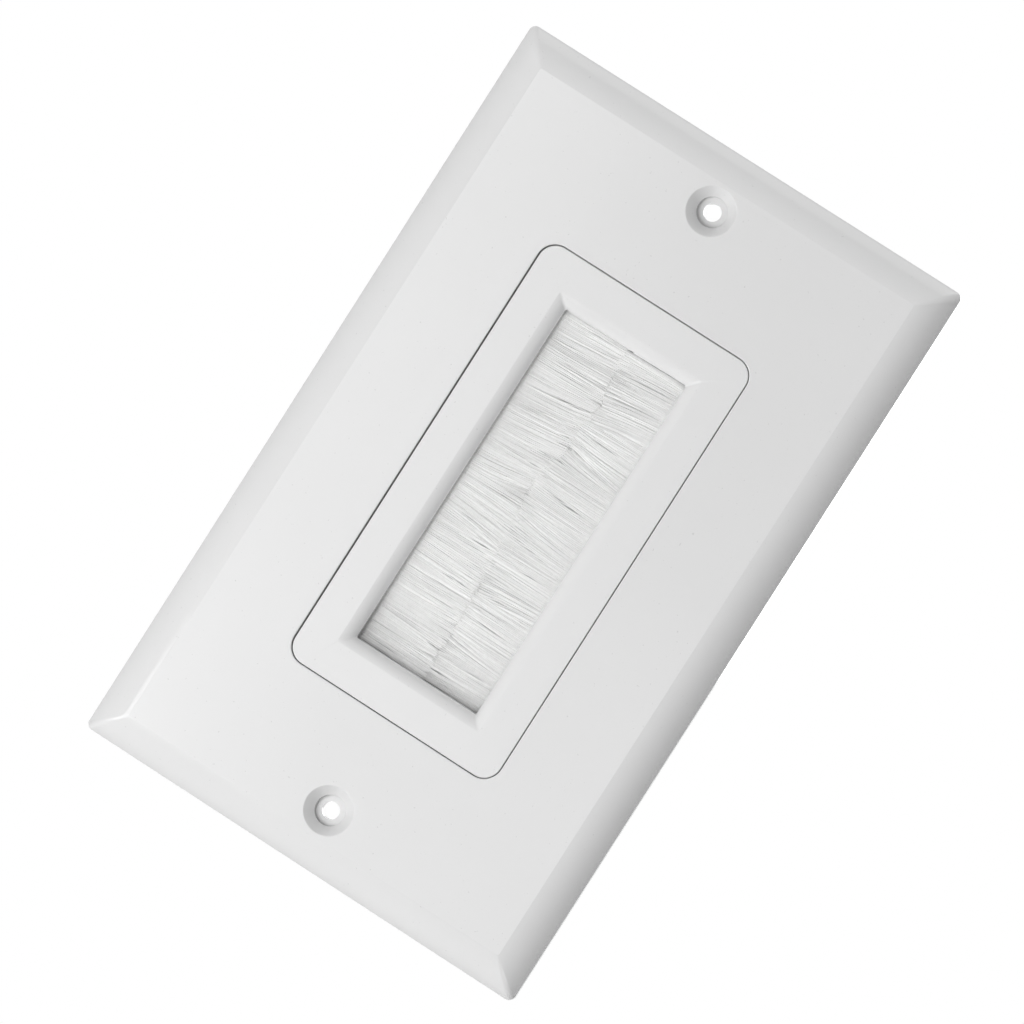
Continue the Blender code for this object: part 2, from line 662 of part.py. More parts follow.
def build_bristles(side, name, parts, cutters):
    """Filament bundle folded round the core wire, spread into two rows of tapered tufts."""
    half = BUNDLE_THICKNESS / 2
    open_angle = math.pi - math.asin(half / BUNDLE_RADIUS)
    outline = arc((WIRE_X, 0), BUNDLE_RADIUS, -open_angle, open_angle, 2 * CORNER_STEPS)
    outline += [(ROOT_FRONT_X, half), (ROOT_FRONT_X, -half)]
    hole = circle((WIRE_X, 0), WIRE_HOLE_RADIUS, 2 * CORNER_STEPS)
    outlines = [[(side * x, level) for x, level in line] for line in (outline, hole)]
    bundle = section_solid(name, outlines, STRIP_HALF_LENGTH, parts)
    bundle.location.z = STRIP_LEVEL

    curve = bpy.data.curves.new(f"{name}_tufts", "CURVE")
    curve.dimensions = "3D"
    curve.bevel_depth = TUFT_RADIUS
    curve.bevel_resolution = TUFT_STEPS
    curve.use_fill_caps = True
    chance = random.Random(TUFT_SEED + side)
    reach = STRIP_HALF_LENGTH - TUFT_RADIUS - SEAT_GAP
    count = int(2 * reach / TUFT_PITCH)
    for row in (1, -1):
        for index in range(count + (row < 0)):
            root_y = (index - (count - (row > 0)) / 2) * TUFT_PITCH
            spline = curve.splines.new("POLY")
            spline.points.add(2)
            places = tuft_path(side, root_y, row, chance)
            for point, place, radius in zip(spline.points, places, TUFT_TAPER):
                point.co = (*place, 1)
                point.radius = radius
    tufts = curve_to_mesh(add_object(f"{name}_tufts", curve, cutters), cutters)
    combine(bundle, tufts, "UNION")
    paint(bundle, (0.86, 0.86, 0.86), 0.45)


def clear_scene():
    """Empties the file, so that only the plate is left in it."""
    for obj in list(bpy.data.objects):
        bpy.data.objects.remove(obj)


def new_collection(name):
    """A collection linked to the scene."""
    collection = bpy.data.collections.new(name)
    bpy.context.scene.collection.children.link(collection)
    return collection


def main():
    clear_scene()
    parts = new_collection("brush_wall_plate")
    cutters = new_collection("cutters_and_guides")
    wall_frame = bpy.data.objects.new("wall_frame", None)
    parts.objects.link(wall_frame)
    wall_frame.rotation_euler.x = math.pi / 2

    build_wall_plate(parts, cutters)
    build_insert_frame(parts, cutters)
    build_back_frame(parts, cutters)
    build_retainer_screws(parts, cutters)
    for side, word in ((-1, "left"), (1, "right")):
        build_channel(side, f"brush_channel_{word}", parts)
        build_core_wire(side, f"core_wire_{word}", parts)
        build_bristles(side, f"bristles_{word}", parts, cutters)


main()
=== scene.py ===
"""Looks, camera and light of the brush wall plate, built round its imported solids.

Pieces are drawn face on in millimetres: x to the right, y up, z out of the wall. The wall is the
plane z = 0 of that drawing, and add_mesh turns it upright into the frame of the solids, in metres.

The sizes are the solids' own, but for the insert's hairline gap and its place in it, the roll of
the window's lip, and the tapped holes with their recess, which follow the real plate's shading.
Each brush is thousands of separate filaments, where its solid has coarse tufts.
"""

import math

import bpy
import numpy as np
from mathutils import Euler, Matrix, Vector


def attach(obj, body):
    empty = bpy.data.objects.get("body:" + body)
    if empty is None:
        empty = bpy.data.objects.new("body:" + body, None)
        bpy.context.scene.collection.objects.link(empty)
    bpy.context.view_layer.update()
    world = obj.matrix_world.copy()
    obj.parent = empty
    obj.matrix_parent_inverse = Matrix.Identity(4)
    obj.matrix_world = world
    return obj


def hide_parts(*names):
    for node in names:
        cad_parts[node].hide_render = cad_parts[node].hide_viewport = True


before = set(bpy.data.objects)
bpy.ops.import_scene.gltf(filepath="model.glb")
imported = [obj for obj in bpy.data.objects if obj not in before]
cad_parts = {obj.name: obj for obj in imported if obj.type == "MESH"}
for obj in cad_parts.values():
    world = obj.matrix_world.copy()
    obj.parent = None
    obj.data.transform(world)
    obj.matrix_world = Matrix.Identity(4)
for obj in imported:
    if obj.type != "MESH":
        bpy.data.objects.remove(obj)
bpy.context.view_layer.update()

MM = 0.001
QUARTER = math.pi / 2
# How far a cutting solid passes beyond the piece, and how far a joined one reaches into it
CLEAR = 1.0
OVERLAP = 0.5

# Cover
PLATE_HALF = np.array((34.925, 57.15))
PLATE_DEPTH = 5.6
CEILING = 3.4
RIM_HEIGHT = 1.9
RIM_WALL = 1.8
RIM_CORNER = 1.0
BEVEL_WIDTH = 4.7
BEVEL_SLOPES = (12.0, 64.0)
MITRE_CORNER = 0.3
OPENING_HALF = np.array((16.875, 33.675))
OPENING_CORNER = 2.8
EDGE_ROUND = 0.15
EDGE_SLOPES = (12, 84)
COVER_SCREW_Y = 48.42
COVER_SCREW_RADIUS = 2.15
COUNTERSINK_RADIUS = 3.475
COUNTERSINK_DEPTH = 1.7
COUNTERSINK_BREAK = (0.18, 0.14)
COUNTERSINK_SLOPE = 14
RIB_THICKNESS = 1.1
RIB_ABOVE_WALL = 0.8
RIB_CLEARANCE = 0.9
RIB_PITCH = 17.0
RIBS_PER_SIDE = 5
RIB_SINK = 0.25

# Insert, and its hairline gap at the sides and at the ends
FACE_GAP = 0.18
END_GAP = 0.13
INSERT_SHIFT = 0.05
SEAT_GAP = 0.3
BEZEL_HALF = OPENING_HALF - (FACE_GAP, END_GAP)
BEZEL_CORNER = OPENING_CORNER - FACE_GAP
STRAP_LEVELS = (1.1, 3.1)
THROUGH_STRAP = (0, 4)
FLANGE_HALF = OPENING_HALF + 2.6
FLANGE_CORNER = 3.0
EAR_HALF_WIDTH = 12.0
EAR_TIP_Y = COVER_SCREW_Y + 3.2
EAR_FILLET = 2.5
EAR_SHOULDER = 0.6
TAPPED_RADIUS = 1.25
TAPPED_RECESS_RADIUS = 2.6
TAPPED_RECESS_LEVEL = 1.6
BOX_SCREW_Y = 41.65
BOX_SLOT = (6.8, 3.8)
TRAY_HALF = np.array((17.375, 34.175))
TRAY_CORNER = 2.0
TRAY_BACK = -1.05
LIP_HALF = OPENING_HALF - 5.35
LIP_WIDTH = 1.75
LIP_DROP = 1.8
LIP_SLOPES = (8.0, 72.0)
WINDOW_HALF = LIP_HALF - LIP_WIDTH
SKIRT_BACK = 2.75
SKIRT_HALF = WINDOW_HALF + 0.8
CAVITY_HALF = np.array((15.675, 27.675))
POCKET_CEILING = 3.85
CORE_WALL = 1.3
CORE_CORNER = 0.3

# Retainer and its screws
RETAINER_LEVELS = (-3.35, -1.35)
RETAINER_OPENING_GROW = 0.4
COLLAR_LEVELS = (-4.35, -0.25)
COLLAR_CROWN = 0.2
COLLAR_SLOPES = (6, 84)
COLLAR_CORNER = 0.6
RETAINER_SCREW_X = TRAY_HALF[0] - 4.6
RETAINER_SCREW_Y = (CAVITY_HALF[1] + TRAY_HALF[1]) / 2
RETAINER_HOLE_RADIUS = 1.5
SCREW_SEAT = -3.65
SCREW_TIP = 2.15
SCREW_HEAD_RADIUS = 2.2
SCREW_HEAD_HEIGHT = 1.46
SCREW_HEAD_STRAIGHT = 0.4
SCREW_HEAD_BREAK = 0.08
SCREW_SHANK_RADIUS = 1.0
SCREW_CORE_RADIUS = 0.72
SCREW_POINT_RADIUS = 0.01
SCREW_TAPER_LENGTH = 1.2
THREAD_PITCH = 0.8
CROSS_CORE = 0.3
CROSS_REACH = 1.1
CROSS_HALF_WIDTH = 0.2
CROSS_DEPTH = 0.8
CROSS_TURN = 0.35
PILOT_RADIUS = 1.3
PILOT_TOP = 2.75

# Brush strips
STRIP_LEVEL = 1.25
STRIP_HALF_LENGTH = CAVITY_HALF[1] - SEAT_GAP
CHANNEL_MOUTH_X = SKIRT_HALF[0] + SEAT_GAP
CHANNEL_SPINE_X = CAVITY_HALF[0] - SEAT_GAP
CHANNEL_SHEET = 0.5
CHANNEL_HALF_HEIGHT = 2.3
CHANNEL_MOUTH_HALF = 1.55
CRIMP_LENGTH = 0.9
CHANNEL_BEND = 0.8
WIRE_RADIUS = 0.45
WIRE_END_ROUND = 0.1
WIRE_X = 13.125
BUNDLE_RADIUS = 1.45
BUNDLE_HALF = 1.2
BUNDLE_FRONT_X = 10.9
BUNDLE_PLAY = 0.1
BORE_HALF_LENGTH = 30
BUNDLE_SHADE = 0.9

# Filaments: lengths in mm, leans in degrees
FILAMENTS_PER_HALF = 3200
FILAMENT_RADIUS = 0.098
TIP_TAPER = 0.95
LAYERS = 8
STATIONS = 8
ROOT_CROWDING = 1.3
ROOT_X = 11.1
ROOT_SCATTER = 0.2
END_MARGIN = 0.25
LEG_SPAN = 10.4
# Clumps: broad tufts and narrow wisps, which slip along from layer to layer. There are random
# values for so many of each, and the clumps reach along so much of y
TUFT_WIDTH, WISP_WIDTH = 1.9, 0.5
TUFTS, WISPS = 300, 400
CLUMPED_FROM, CLUMPED_LENGTH = -34, 90
LAYER_SLIP = 0.47
# What each clump or filament adds: to the lean; to the pull together, least and more; to the level
TUFT_LEAN, WISP_LEAN, OWN_LEAN = 0.8, 0.6, 0.4
TUFT_PULL = (0.02, 0.15)
WISP_PULL = (0.04, 0.30)
WISP_DIP = (0.06, 0.5)
TIP_LIFT = 0.05
CLUMP_LIFT = 0.04
SWAY = 0.04
# How far the tips end past the seam, and how uneven they are
SURFACE_OVERLAP, INNER_OVERLAP = 0.22, 0.6
WISP_RAGGED, OWN_RAGGED = 0.15, 0.16
SHORT_FROM, SHORT_BY = 0.72, 0.5
PARTING_WIDTH = 0.4
PARTING_SHADE = 16
PARTING_SHADE_WIDTH = 0.3
# The ends of the brush: crowded heights at its top, a sunk surface at its bottom
CROWDED_ABOVE, CROWDING = 25, 0.74
LOWER_END_Y, LOWER_END_REACH, LOWER_END_SINK = -16, 10, 0.45
# Past the skirt the legs spread and rise; SPREAD_START is that of each side (-1 is the left)
SKIRT_SPREAD = 0.34
SPREAD_START = {-1: 0.0, 1: 0.1}
SPREAD_LENGTH = 0.115
TIP_RISE = 0.6
# How far they may stand past the bundle's depth beside the skirt and in the open window
SKIRT_MARGIN = 0.1
SKIRT_HEADROOM, WINDOW_HEADROOM = 0.21, 0.34

# Shade of the filaments: near 1 is the nylon's own colour, less is darker
SHADE_MEAN, SHADE_SCATTER = 1.06, 0.08
# Painted shade: the filaments darken toward the window's lower end, most of all in its left corner,
# where its walls shade the brush
PAINTED_SHADE_BELOW, PAINTED_SHADE_REACH, PAINTED_SHADE_POWER = -17, 9, 1.3
PAINTED_SHADE_LEAST, PAINTED_SHADE_MORE = 0.2, 0.7
PAINTED_SHADE_CORNER_X, PAINTED_SHADE_CORNER_REACH, PAINTED_SHADE_RIGHT = -3, 6, 0.35
# Painted shade on the last filaments under the window's top wall
TOP_EDGE_Y, TOP_EDGE_REACH, TOP_EDGE_PAINTED_SHADE = 25.7, 0.7, 0.7

# Floor in mm, lamps in m
FLOOR_HALF = 1600.0
FLOOR_BELOW = 420.0
SOFTBOX_DISTANCE = 0.7
SOFTBOX_SIZE = (0.4, 0.4)

# Steps of round shapes
CORNER_STEPS = 12
SMALL_CORNER_STEPS = 4
ROLL_STEPS = 20
EDGE_STEPS = 8
BREAK_STEPS = 6
BEND_STEPS = 10
TURN_STEPS = 48
WIRE_STEPS = 24
BORE_STEPS = 32
HEAD_STEPS = 12
SHANK_STEPS = 64


def rounded_rectangle(half, radius, steps=CORNER_STEPS, centre=(0.0, 0.0)):
    """Outline of a rectangle with quarter circles for corners: middle + radius (cos a, sin a)."""
    turns = np.linspace(0, QUARTER, steps + 1)[None, :] + QUARTER * np.arange(4)[:, None]
    signs = np.array(((1, 1), (-1, 1), (-1, -1), (1, -1)))
    middles = np.array(centre) + signs * (np.array(half) - radius)
    ring = radius * np.stack((np.cos(turns), np.sin(turns)), axis=2)
    return (middles[:, None, :] + ring).reshape(-1, 2)


def arc(centre, radius, start, end, steps):
    """Points centre + radius (cos a, sin a), with a running evenly from start to end."""
    turns = np.linspace(start, end, steps + 1)
    return np.array(centre) + radius * np.stack((np.cos(turns), np.sin(turns)), axis=1)


def circle(centre, radius, steps=TURN_STEPS):
    """A full turn of arc points, the last one not repeated."""
    return arc(centre, radius, 0, math.tau, steps)[:-1]


def slot_outline(centre, length, width):
    """Two half circles joined by straight sides along x."""
    reach = np.array((length / 2 - width / 2, 0))
    right = arc(centre + reach, width / 2, -QUARTER, QUARTER, CORNER_STEPS)
    left = arc(centre - reach, width / 2, QUARTER, 3 * QUARTER, CORNER_STEPS)
    return np.concatenate((right, left))


def filleted_outline(corners):
    """Outline through (x, y, radius) corners, each replaced by an arc tangent to its two sides."""
    pieces = []
    for index, (x, y, radius) in enumerate(corners):
        before, after = corners[index - 1], corners[(index + 1) % len(corners)]
        into = math.atan2(y - before[1], x - before[0])
        out = math.atan2(after[1] - y, after[0] - x)
        turn = math.remainder(out - into, math.tau)
        side = math.copysign(1, turn)
        reach = radius * math.tan(abs(turn) / 2)
        centre = (
            x - reach * math.cos(into) - side * radius * math.sin(into),
            y - reach * math.sin(into) + side * radius * math.cos(into),
        )
        start = into - side * QUARTER
        pieces.append(arc(centre, radius, start, start + turn, CORNER_STEPS))
    return np.concatenate(pieces)


def rolled_edge(width, drop, slopes, steps=ROLL_STEPS):
    """(outward, down) points of an arc whose slope grows evenly between two, in degrees."""
    slope = np.radians(np.linspace(*slopes, steps + 1))
    across = (np.sin(slope) - np.sin(slope[0])) / (np.sin(slope[-1]) - np.sin(slope[0]))
    down = (np.cos(slope[0]) - np.cos(slope)) / (np.cos(slope[0]) - np.cos(slope[-1]))
    return np.stack((width * across, drop * down), axis=1)


def grid_faces(rows, columns, wrap_rows=False):
    """Quads of a grid whose columns run round a closed outline."""
    row = np.arange(rows if wrap_rows else rows - 1)[:, None]
    column = np.arange(columns)[None, :]
    after_row, after = (row + 1) % rows, (column + 1) % columns
    corners = (row * columns + column, row * columns + after)
    corners += (after_row * columns + after, after_row * columns + column)
    return np.stack(np.broadcast_arrays(*corners), axis=-1).reshape(-1, 4)


def facing_out(points, face_sets):
    """The solid with its faces turned outwards: its volume, summed over fans, is positive."""
    volume = 0.0
    for faces in face_sets:
        first, ring = points[faces[:, :1]], points[faces[:, 1:]]
        volume += (first * np.cross(ring[:, :-1], ring[:, 1:])).sum()
    return points, [faces[:, ::-1] for faces in face_sets] if volume < 0 else face_sets


def skinned(rings, wrap=False):
    """A solid through equal rings, (rings, points, 3), capped or wrapped last to first."""
    count, columns = rings.shape[:2]
    faces = [grid_faces(count, columns, wrap)]
    if not wrap:
        faces.append(np.arange(columns)[None, ::-1])
        faces.append((count - 1) * columns + np.arange(columns)[None, :])
    return facing_out(rings.reshape(-1, 3), faces)


def lofted(sections, steps=CORNER_STEPS, wrap=False):
    """Rounded rectangles (half, radius, level), skinned in order."""
    rings = []
    for half, radius, level in sections:
        outline = rounded_rectangle(half, radius, steps)
        rings.append(np.column_stack((outline, np.full(len(outline), level))))
    return skinned(np.array(rings), wrap)


def prism(outline, low, high):
    """An outline in x and y, as thick as from low to high."""
    rings = [np.column_stack((outline, np.full(len(outline), z))) for z in (low, high)]
    return skinned(np.array(rings))


def run_along_y(outline, half_length, end_round=0.0):
    """A cross-section in x and z carried along y, its ends shrunk where they are rounded."""
    middle = outline.mean(axis=0)
    places = [(-half_length, 1.0), (half_length, 1.0)]
    if end_round:
        reach = np.ptp(outline, axis=0).min() / 2
        places.insert(1, (end_round - half_length, 1.0))
        places.insert(2, (half_length - end_round, 1.0))
        shrink = 1 - end_round / reach
        places[0], places[3] = (-half_length, shrink), (half_length, shrink)
    rings = []
    for y, scale in places:
        section = middle + (outline - middle) * scale
        rings.append(np.column_stack((section[:, 0], np.full(len(section), y), section[:, 1])))
    return skinned(np.array(rings))


def turned(profile, centre=(0.0, 0.0), steps=TURN_STEPS):
    """A (radius, z) profile turned round z: (radius cos a, radius sin a, z)."""
    profile = np.array(profile)
    turns = np.arange(steps) * math.tau / steps
    rings = np.stack(
        (
            centre[0] + profile[:, :1] * np.cos(turns),
            centre[1] + profile[:, :1] * np.sin(turns),
            np.repeat(profile[:, 1:], steps, axis=1),
        ),
        axis=2,
    )
    return skinned(rings)


def joined(solids):
    """Several solids as one list of points and faces."""
    points, faces, offset = [], [], 0
    for solid_points, solid_faces in solids:
        points.append(solid_points)
        faces += [face + offset for face in solid_faces]
        offset += len(solid_points)
    return np.concatenate(points), faces


def add_mesh(name, solid):
    """A mesh object from points in the drawing and the index arrays of its faces."""
    points, face_sets = solid
    mesh = bpy.data.meshes.new(name)
    upright = np.stack((points[:, 0], -points[:, 2], points[:, 1]), axis=1) * MM
    mesh.vertices.add(len(upright))
    mesh.vertices.foreach_set("co", upright.astype(np.float32).ravel())
    sizes = np.concatenate([np.full(len(faces), faces.shape[1]) for faces in face_sets])
    corners = np.concatenate([faces.ravel() for faces in face_sets]).astype(np.int32)
    mesh.loops.add(len(corners))
    mesh.loops.foreach_set("vertex_index", corners)
    mesh.polygons.add(len(sizes))
    starts = np.concatenate(([0], np.cumsum(sizes)[:-1])).astype(np.int32)
    mesh.polygons.foreach_set("loop_start", starts)
    mesh.update(calc_edges=True)
    obj = bpy.data.objects.new(name, mesh)
    bpy.context.scene.collection.objects.link(obj)
    return obj


def carve(piece, solid, operation="DIFFERENCE"):
    """Cuts a solid out of the piece, or joins it on, and keeps the result as the piece's mesh."""
    tool = add_mesh("carving_tool", solid)
    modifier = piece.modifiers.new("carve", "BOOLEAN")
    modifier.operation = operation
    modifier.solver = "EXACT"
    modifier.object = tool
    bpy.context.view_layer.update()
    evaluated = piece.evaluated_get(bpy.context.evaluated_depsgraph_get())
    result = bpy.data.meshes.new_from_object(evaluated)
    result.name = piece.name
    piece.modifiers.clear()
    spent = (piece.data, tool.data)
    piece.data = result
    bpy.data.objects.remove(tool)
    for mesh in spent:
        bpy.data.meshes.remove(mesh)


def dress(piece, material, node, crease=9.0):
    """Smooth shading up to a crease angle, the finish, and the solid that the piece stands for."""
    if crease:
        piece.data.shade_smooth()
        piece.data.set_sharp_from_angle(angle=math.radians(crease))
    piece.data.materials.clear()
    piece.data.materials.append(material)
    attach(piece, "root")
    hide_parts(node)


class Finish:
    """A node material: a Principled shader, and short ways to add and link nodes."""

    def __init__(self, name, colour, roughness, metallic=0.0, **extra):
        self.material = bpy.data.materials.new(name)
        self.material.use_nodes = True
        self.tree = self.material.node_tree
        self.shader = self.tree.nodes["Principled BSDF"]
        self.set(self.shader, {"Base Color": (*colour, 1), "Roughness": roughness})
        self.set(self.shader, {"Metallic": metallic, **extra})
        self.place = self.node("ShaderNodeTexCoord").outputs["Object"]

    def set(self, node, values):
        for socket, value in values.items():
            node.inputs[socket].default_value = value

    def link(self, source, target):
        self.tree.links.new(source, target)

    def node(self, kind, values=None, **settings):
        node = self.tree.nodes.new(kind)
        for key, value in settings.items():
            setattr(node, key, value)
        self.set(node, values or {})
        return node

    def noise(self, scale, detail=2.0, roughness=0.5, stretch=None):
        """Noise at so many waves a metre; stretch scales its axes."""
        node = self.node(
            "ShaderNodeTexNoise", {"Scale": scale, "Detail": detail, "Roughness": roughness}
        )
        source = self.place
        if stretch:
            mapping = self.node("ShaderNodeMapping", {"Scale": stretch})
            self.link(source, mapping.inputs["Vector"])
            source = mapping.outputs["Vector"]
        self.link(source, node.inputs["Vector"])
        return node.outputs["Fac"]

    def spread(self, source, low, high, start=0.3, end=0.7):
        """The source's stretch from start to end, carried to low and high."""
        node = self.node(
            "ShaderNodeMapRange",
            {"From Min": start, "From Max": end, "To Min": low, "To Max": high},
        )
        self.link(source, node.inputs["Value"])
        return node.outputs["Result"]

    def math(self, operation, first, second):
        node = self.node("ShaderNodeMath", operation=operation)
        for socket, value in zip(node.inputs, (first, second)):
            if isinstance(value, float):
                socket.default_value = value
            else:
                self.link(value, socket)
        return node.outputs["Value"]

    def tint(self, factor, first, second):
        """A colour between two, by the factor."""
        node = self.node("ShaderNodeMix", data_type="RGBA")
        self.link(factor, node.inputs["Factor"])
        for socket, colour in ((node.inputs[6], first), (node.inputs[7], second)):
            if isinstance(colour, tuple):
                socket.default_value = (*colour, 1)
            else:
                self.link(colour, socket)
        return node.outputs[2]

    def bump(self, height, distance, strength=1.0, under=None):
        """A bump of so many metres from the height."""
        node = self.node("ShaderNodeBump", {"Distance": distance, "Strength": strength})
        self.link(height, node.inputs["Height"])
        if under:
            self.link(under, node.inputs["Normal"])
        return node.outputs["Normal"]

    def drive(self, **sources):
        names = {"colour": "Base Color", "roughness": "Roughness", "normal": "Normal"}
        for key, source in sources.items():
            self.link(source, self.shader.inputs[names[key]])


def moulded_plastic(name, bright, deep, roughness):
    """Glossy injection-moulded plastic: faint flow clouds, orange peel, dust-fine specks."""
    finish = Finish(name, bright, roughness, **{"IOR": 1.49})
    clouds = finish.spread(finish.noise(38, 3), 0.0, 1.0)
    colour = finish.tint(clouds, bright, deep)
    specks = finish.spread(finish.noise(2600, 1), 0.0, 1.0, 0.76, 0.80)
    colour = finish.tint(specks, colour, tuple(0.86 * c for c in deep))
    rough = finish.spread(finish.noise(420, 4), roughness - 0.015, roughness + 0.015)
    peel = finish.bump(finish.noise(520, 2), 0.000002)
    grain = finish.bump(finish.noise(5200, 2), 0.0000004, under=peel)
    finish.drive(colour=colour, roughness=rough, normal=grain)
    return finish.material


def plated_steel(name, colour, roughness, along=None):
    """Zinc-bright sheet or wire: cloudy tint, drawn streaks where it has a direction."""
    finish = Finish(name, colour, roughness, metallic=1.0)
    clouds = finish.spread(finish.noise(260, 4), 0.0, 1.0)
    tint = finish.tint(clouds, colour, tuple(0.82 * c for c in colour))
    streaks = finish.noise(900, 3, stretch=along)
    rough = finish.spread(streaks, roughness - 0.08, roughness + 0.12)
    finish.drive(colour=tint, roughness=rough, normal=finish.bump(streaks, 0.000004))
    return finish.material


def nylon(name, colour):
    """Milky filament: 0.6 to 1 of the colour, by 0.7 of own tone less painted shade, 0.3 of fine
    noise.
    """
    finish = Finish(name, colour, 0.38, **{"IOR": 1.53})
    shade = finish.node("ShaderNodeAttribute", attribute_name="shade").outputs["Fac"]
    fine = finish.noise(1800, 2)
    little = finish.math("MULTIPLY", fine, 0.3)
    mixed = finish.math("ADD", little, finish.math("MULTIPLY", shade, 0.7))
    tint = finish.tint(mixed, tuple(0.6 * c for c in colour), colour)
    finish.drive(colour=tint, roughness=finish.spread(fine, 0.32, 0.46))
    return finish.material


cover_plastic = moulded_plastic("cover_plastic", (0.80, 0.80, 0.80), (0.785, 0.785, 0.785), 0.12)
insert_plastic = moulded_plastic("insert_plastic", (0.81, 0.81, 0.81), (0.795, 0.795, 0.795), 0.20)
retainer_plastic = moulded_plastic("retainer_plastic", (0.77, 0.77, 0.77), (0.75, 0.75, 0.75), 0.42)
channel_steel = plated_steel("channel_steel", (0.66, 0.67, 0.68), 0.36, (1, 0.08, 0.08))
wire_steel = plated_steel("wire_steel", (0.55, 0.56, 0.58), 0.33, (1, 1, 0.05))
screw_steel = plated_steel("screw_steel", (0.64, 0.65, 0.66), 0.30)
bristle_nylon = nylon("bristle_nylon", (0.985, 0.985, 0.98))


def rib(inner, outer, hollow, middle, turn):
    """A blade from inner to outer under the hollow's curve, moved sideways and turned about z."""
    outward = outer + hollow[:, 0] - hollow[-1, 0] + RIB_SINK
    level = np.maximum(CEILING + RIB_SINK - hollow[:, 1], RIB_ABOVE_WALL)
    top = ((inner, RIB_ABOVE_WALL), (inner, CEILING + 2 * RIB_SINK))
    outline = np.concatenate((top, np.stack((outward, level), axis=1)))
    rings = []
    for side in (-RIB_THICKNESS / 2, RIB_THICKNESS / 2):
        x, y = outline[:, 0], np.full(len(outline), middle + side)
        cos, sin = math.cos(turn), math.sin(turn)
        rings.append(np.stack((x * cos - y * sin, x * sin + y * cos, outline[:, 1]), axis=1))
    return skinned(np.array(rings))


def make_cover():
    """Ring loft of the rolled bevel, face, opening and hollow, then the ribs and screw holes."""
    face_half = PLATE_HALF - BEVEL_WIDTH
    sections = [(PLATE_HALF, RIM_CORNER, 0.0)]
    for outward, down in rolled_edge(BEVEL_WIDTH, PLATE_DEPTH - RIM_HEIGHT, BEVEL_SLOPES)[::-1]:
        corner = MITRE_CORNER + (RIM_CORNER - MITRE_CORNER) * outward / BEVEL_WIDTH
        sections.append((face_half + outward, corner, PLATE_DEPTH - down))
    for inward, down in rolled_edge(EDGE_ROUND, EDGE_ROUND, EDGE_SLOPES, EDGE_STEPS):
        grow = EDGE_ROUND - inward
        sections.append((OPENING_HALF + grow, OPENING_CORNER + grow, PLATE_DEPTH - down))
    sections.append((OPENING_HALF, OPENING_CORNER, CEILING))
    hollow_half = PLATE_HALF - RIM_WALL
    hollow_width, hollow_drop = BEVEL_WIDTH - RIM_WALL / 2, CEILING - RIM_WALL / 4
    hollow = rolled_edge(hollow_width, hollow_drop, BEVEL_SLOPES, EDGE_STEPS)
    for outward, down in hollow:
        sections.append((hollow_half + outward - hollow[-1, 0], RIM_CORNER, CEILING - down))
    sections.append((hollow_half, RIM_CORNER, 0.0))
    cover = add_mesh("cover", lofted(sections, wrap=True))

    ribs = []
    side_inner = FLANGE_HALF[0] + RIB_CLEARANCE
    for index in range(RIBS_PER_SIDE):
        middle = (index - (RIBS_PER_SIDE - 1) / 2) * RIB_PITCH
        for turn in (0, math.pi):
            ribs.append(rib(side_inner, hollow_half[0], hollow, middle, turn))
    beside_ear = EAR_HALF_WIDTH + RIB_CLEARANCE + RIB_THICKNESS / 2
    end_inner = FLANGE_HALF[1] + EAR_SHOULDER + EAR_FILLET + RIB_CLEARANCE
    for turn in (QUARTER, -QUARTER):
        for middle in (beside_ear, -beside_ear):
            ribs.append(rib(end_inner, hollow_half[1], hollow, middle, turn))
    carve(cover, joined(ribs), "UNION")

    cone = math.degrees(math.atan2(COUNTERSINK_DEPTH, COUNTERSINK_RADIUS - COVER_SCREW_RADIUS))
    edge = rolled_edge(*COUNTERSINK_BREAK, (COUNTERSINK_SLOPE, cone), BREAK_STEPS)
    mouth_radius = COUNTERSINK_RADIUS + COUNTERSINK_BREAK[0] / 2
    profile = [(COUNTERSINK_RADIUS + CLEAR, PLATE_DEPTH + CLEAR)]
    profile += [(COUNTERSINK_RADIUS + 0.5, PLATE_DEPTH + 0.05)]
    profile += [(mouth_radius - inward, PLATE_DEPTH - down) for inward, down in edge]
    profile += [(COVER_SCREW_RADIUS, PLATE_DEPTH - COUNTERSINK_DEPTH)]
    profile += [(COVER_SCREW_RADIUS, CEILING - CLEAR)]
    holes = [turned(profile, (0, up * COVER_SCREW_Y)) for up in (1, -1)]
    carve(cover, joined(holes))
    dress(cover, cover_plastic, "wall_plate")


def strap_outline():
    """The strap's outer edge with its two ears."""
    quarter = [
        (FLANGE_HALF[0], FLANGE_HALF[1], FLANGE_CORNER),
        (EAR_HALF_WIDTH, FLANGE_HALF[1] + EAR_SHOULDER, EAR_FILLET),
        (EAR_HALF_WIDTH, EAR_TIP_Y, EAR_FILLET),
    ]
    half = quarter + [(-x, y, r) for x, y, r in quarter[::-1]]
    return filleted_outline(half + [(-x, -y, r) for x, y, r in half])


def screw_places():
    """Centres of the retainer's four screws."""
    x, y = RETAINER_SCREW_X, RETAINER_SCREW_Y
    return ((x, y), (-x, y), (-x, -y), (x, -y))


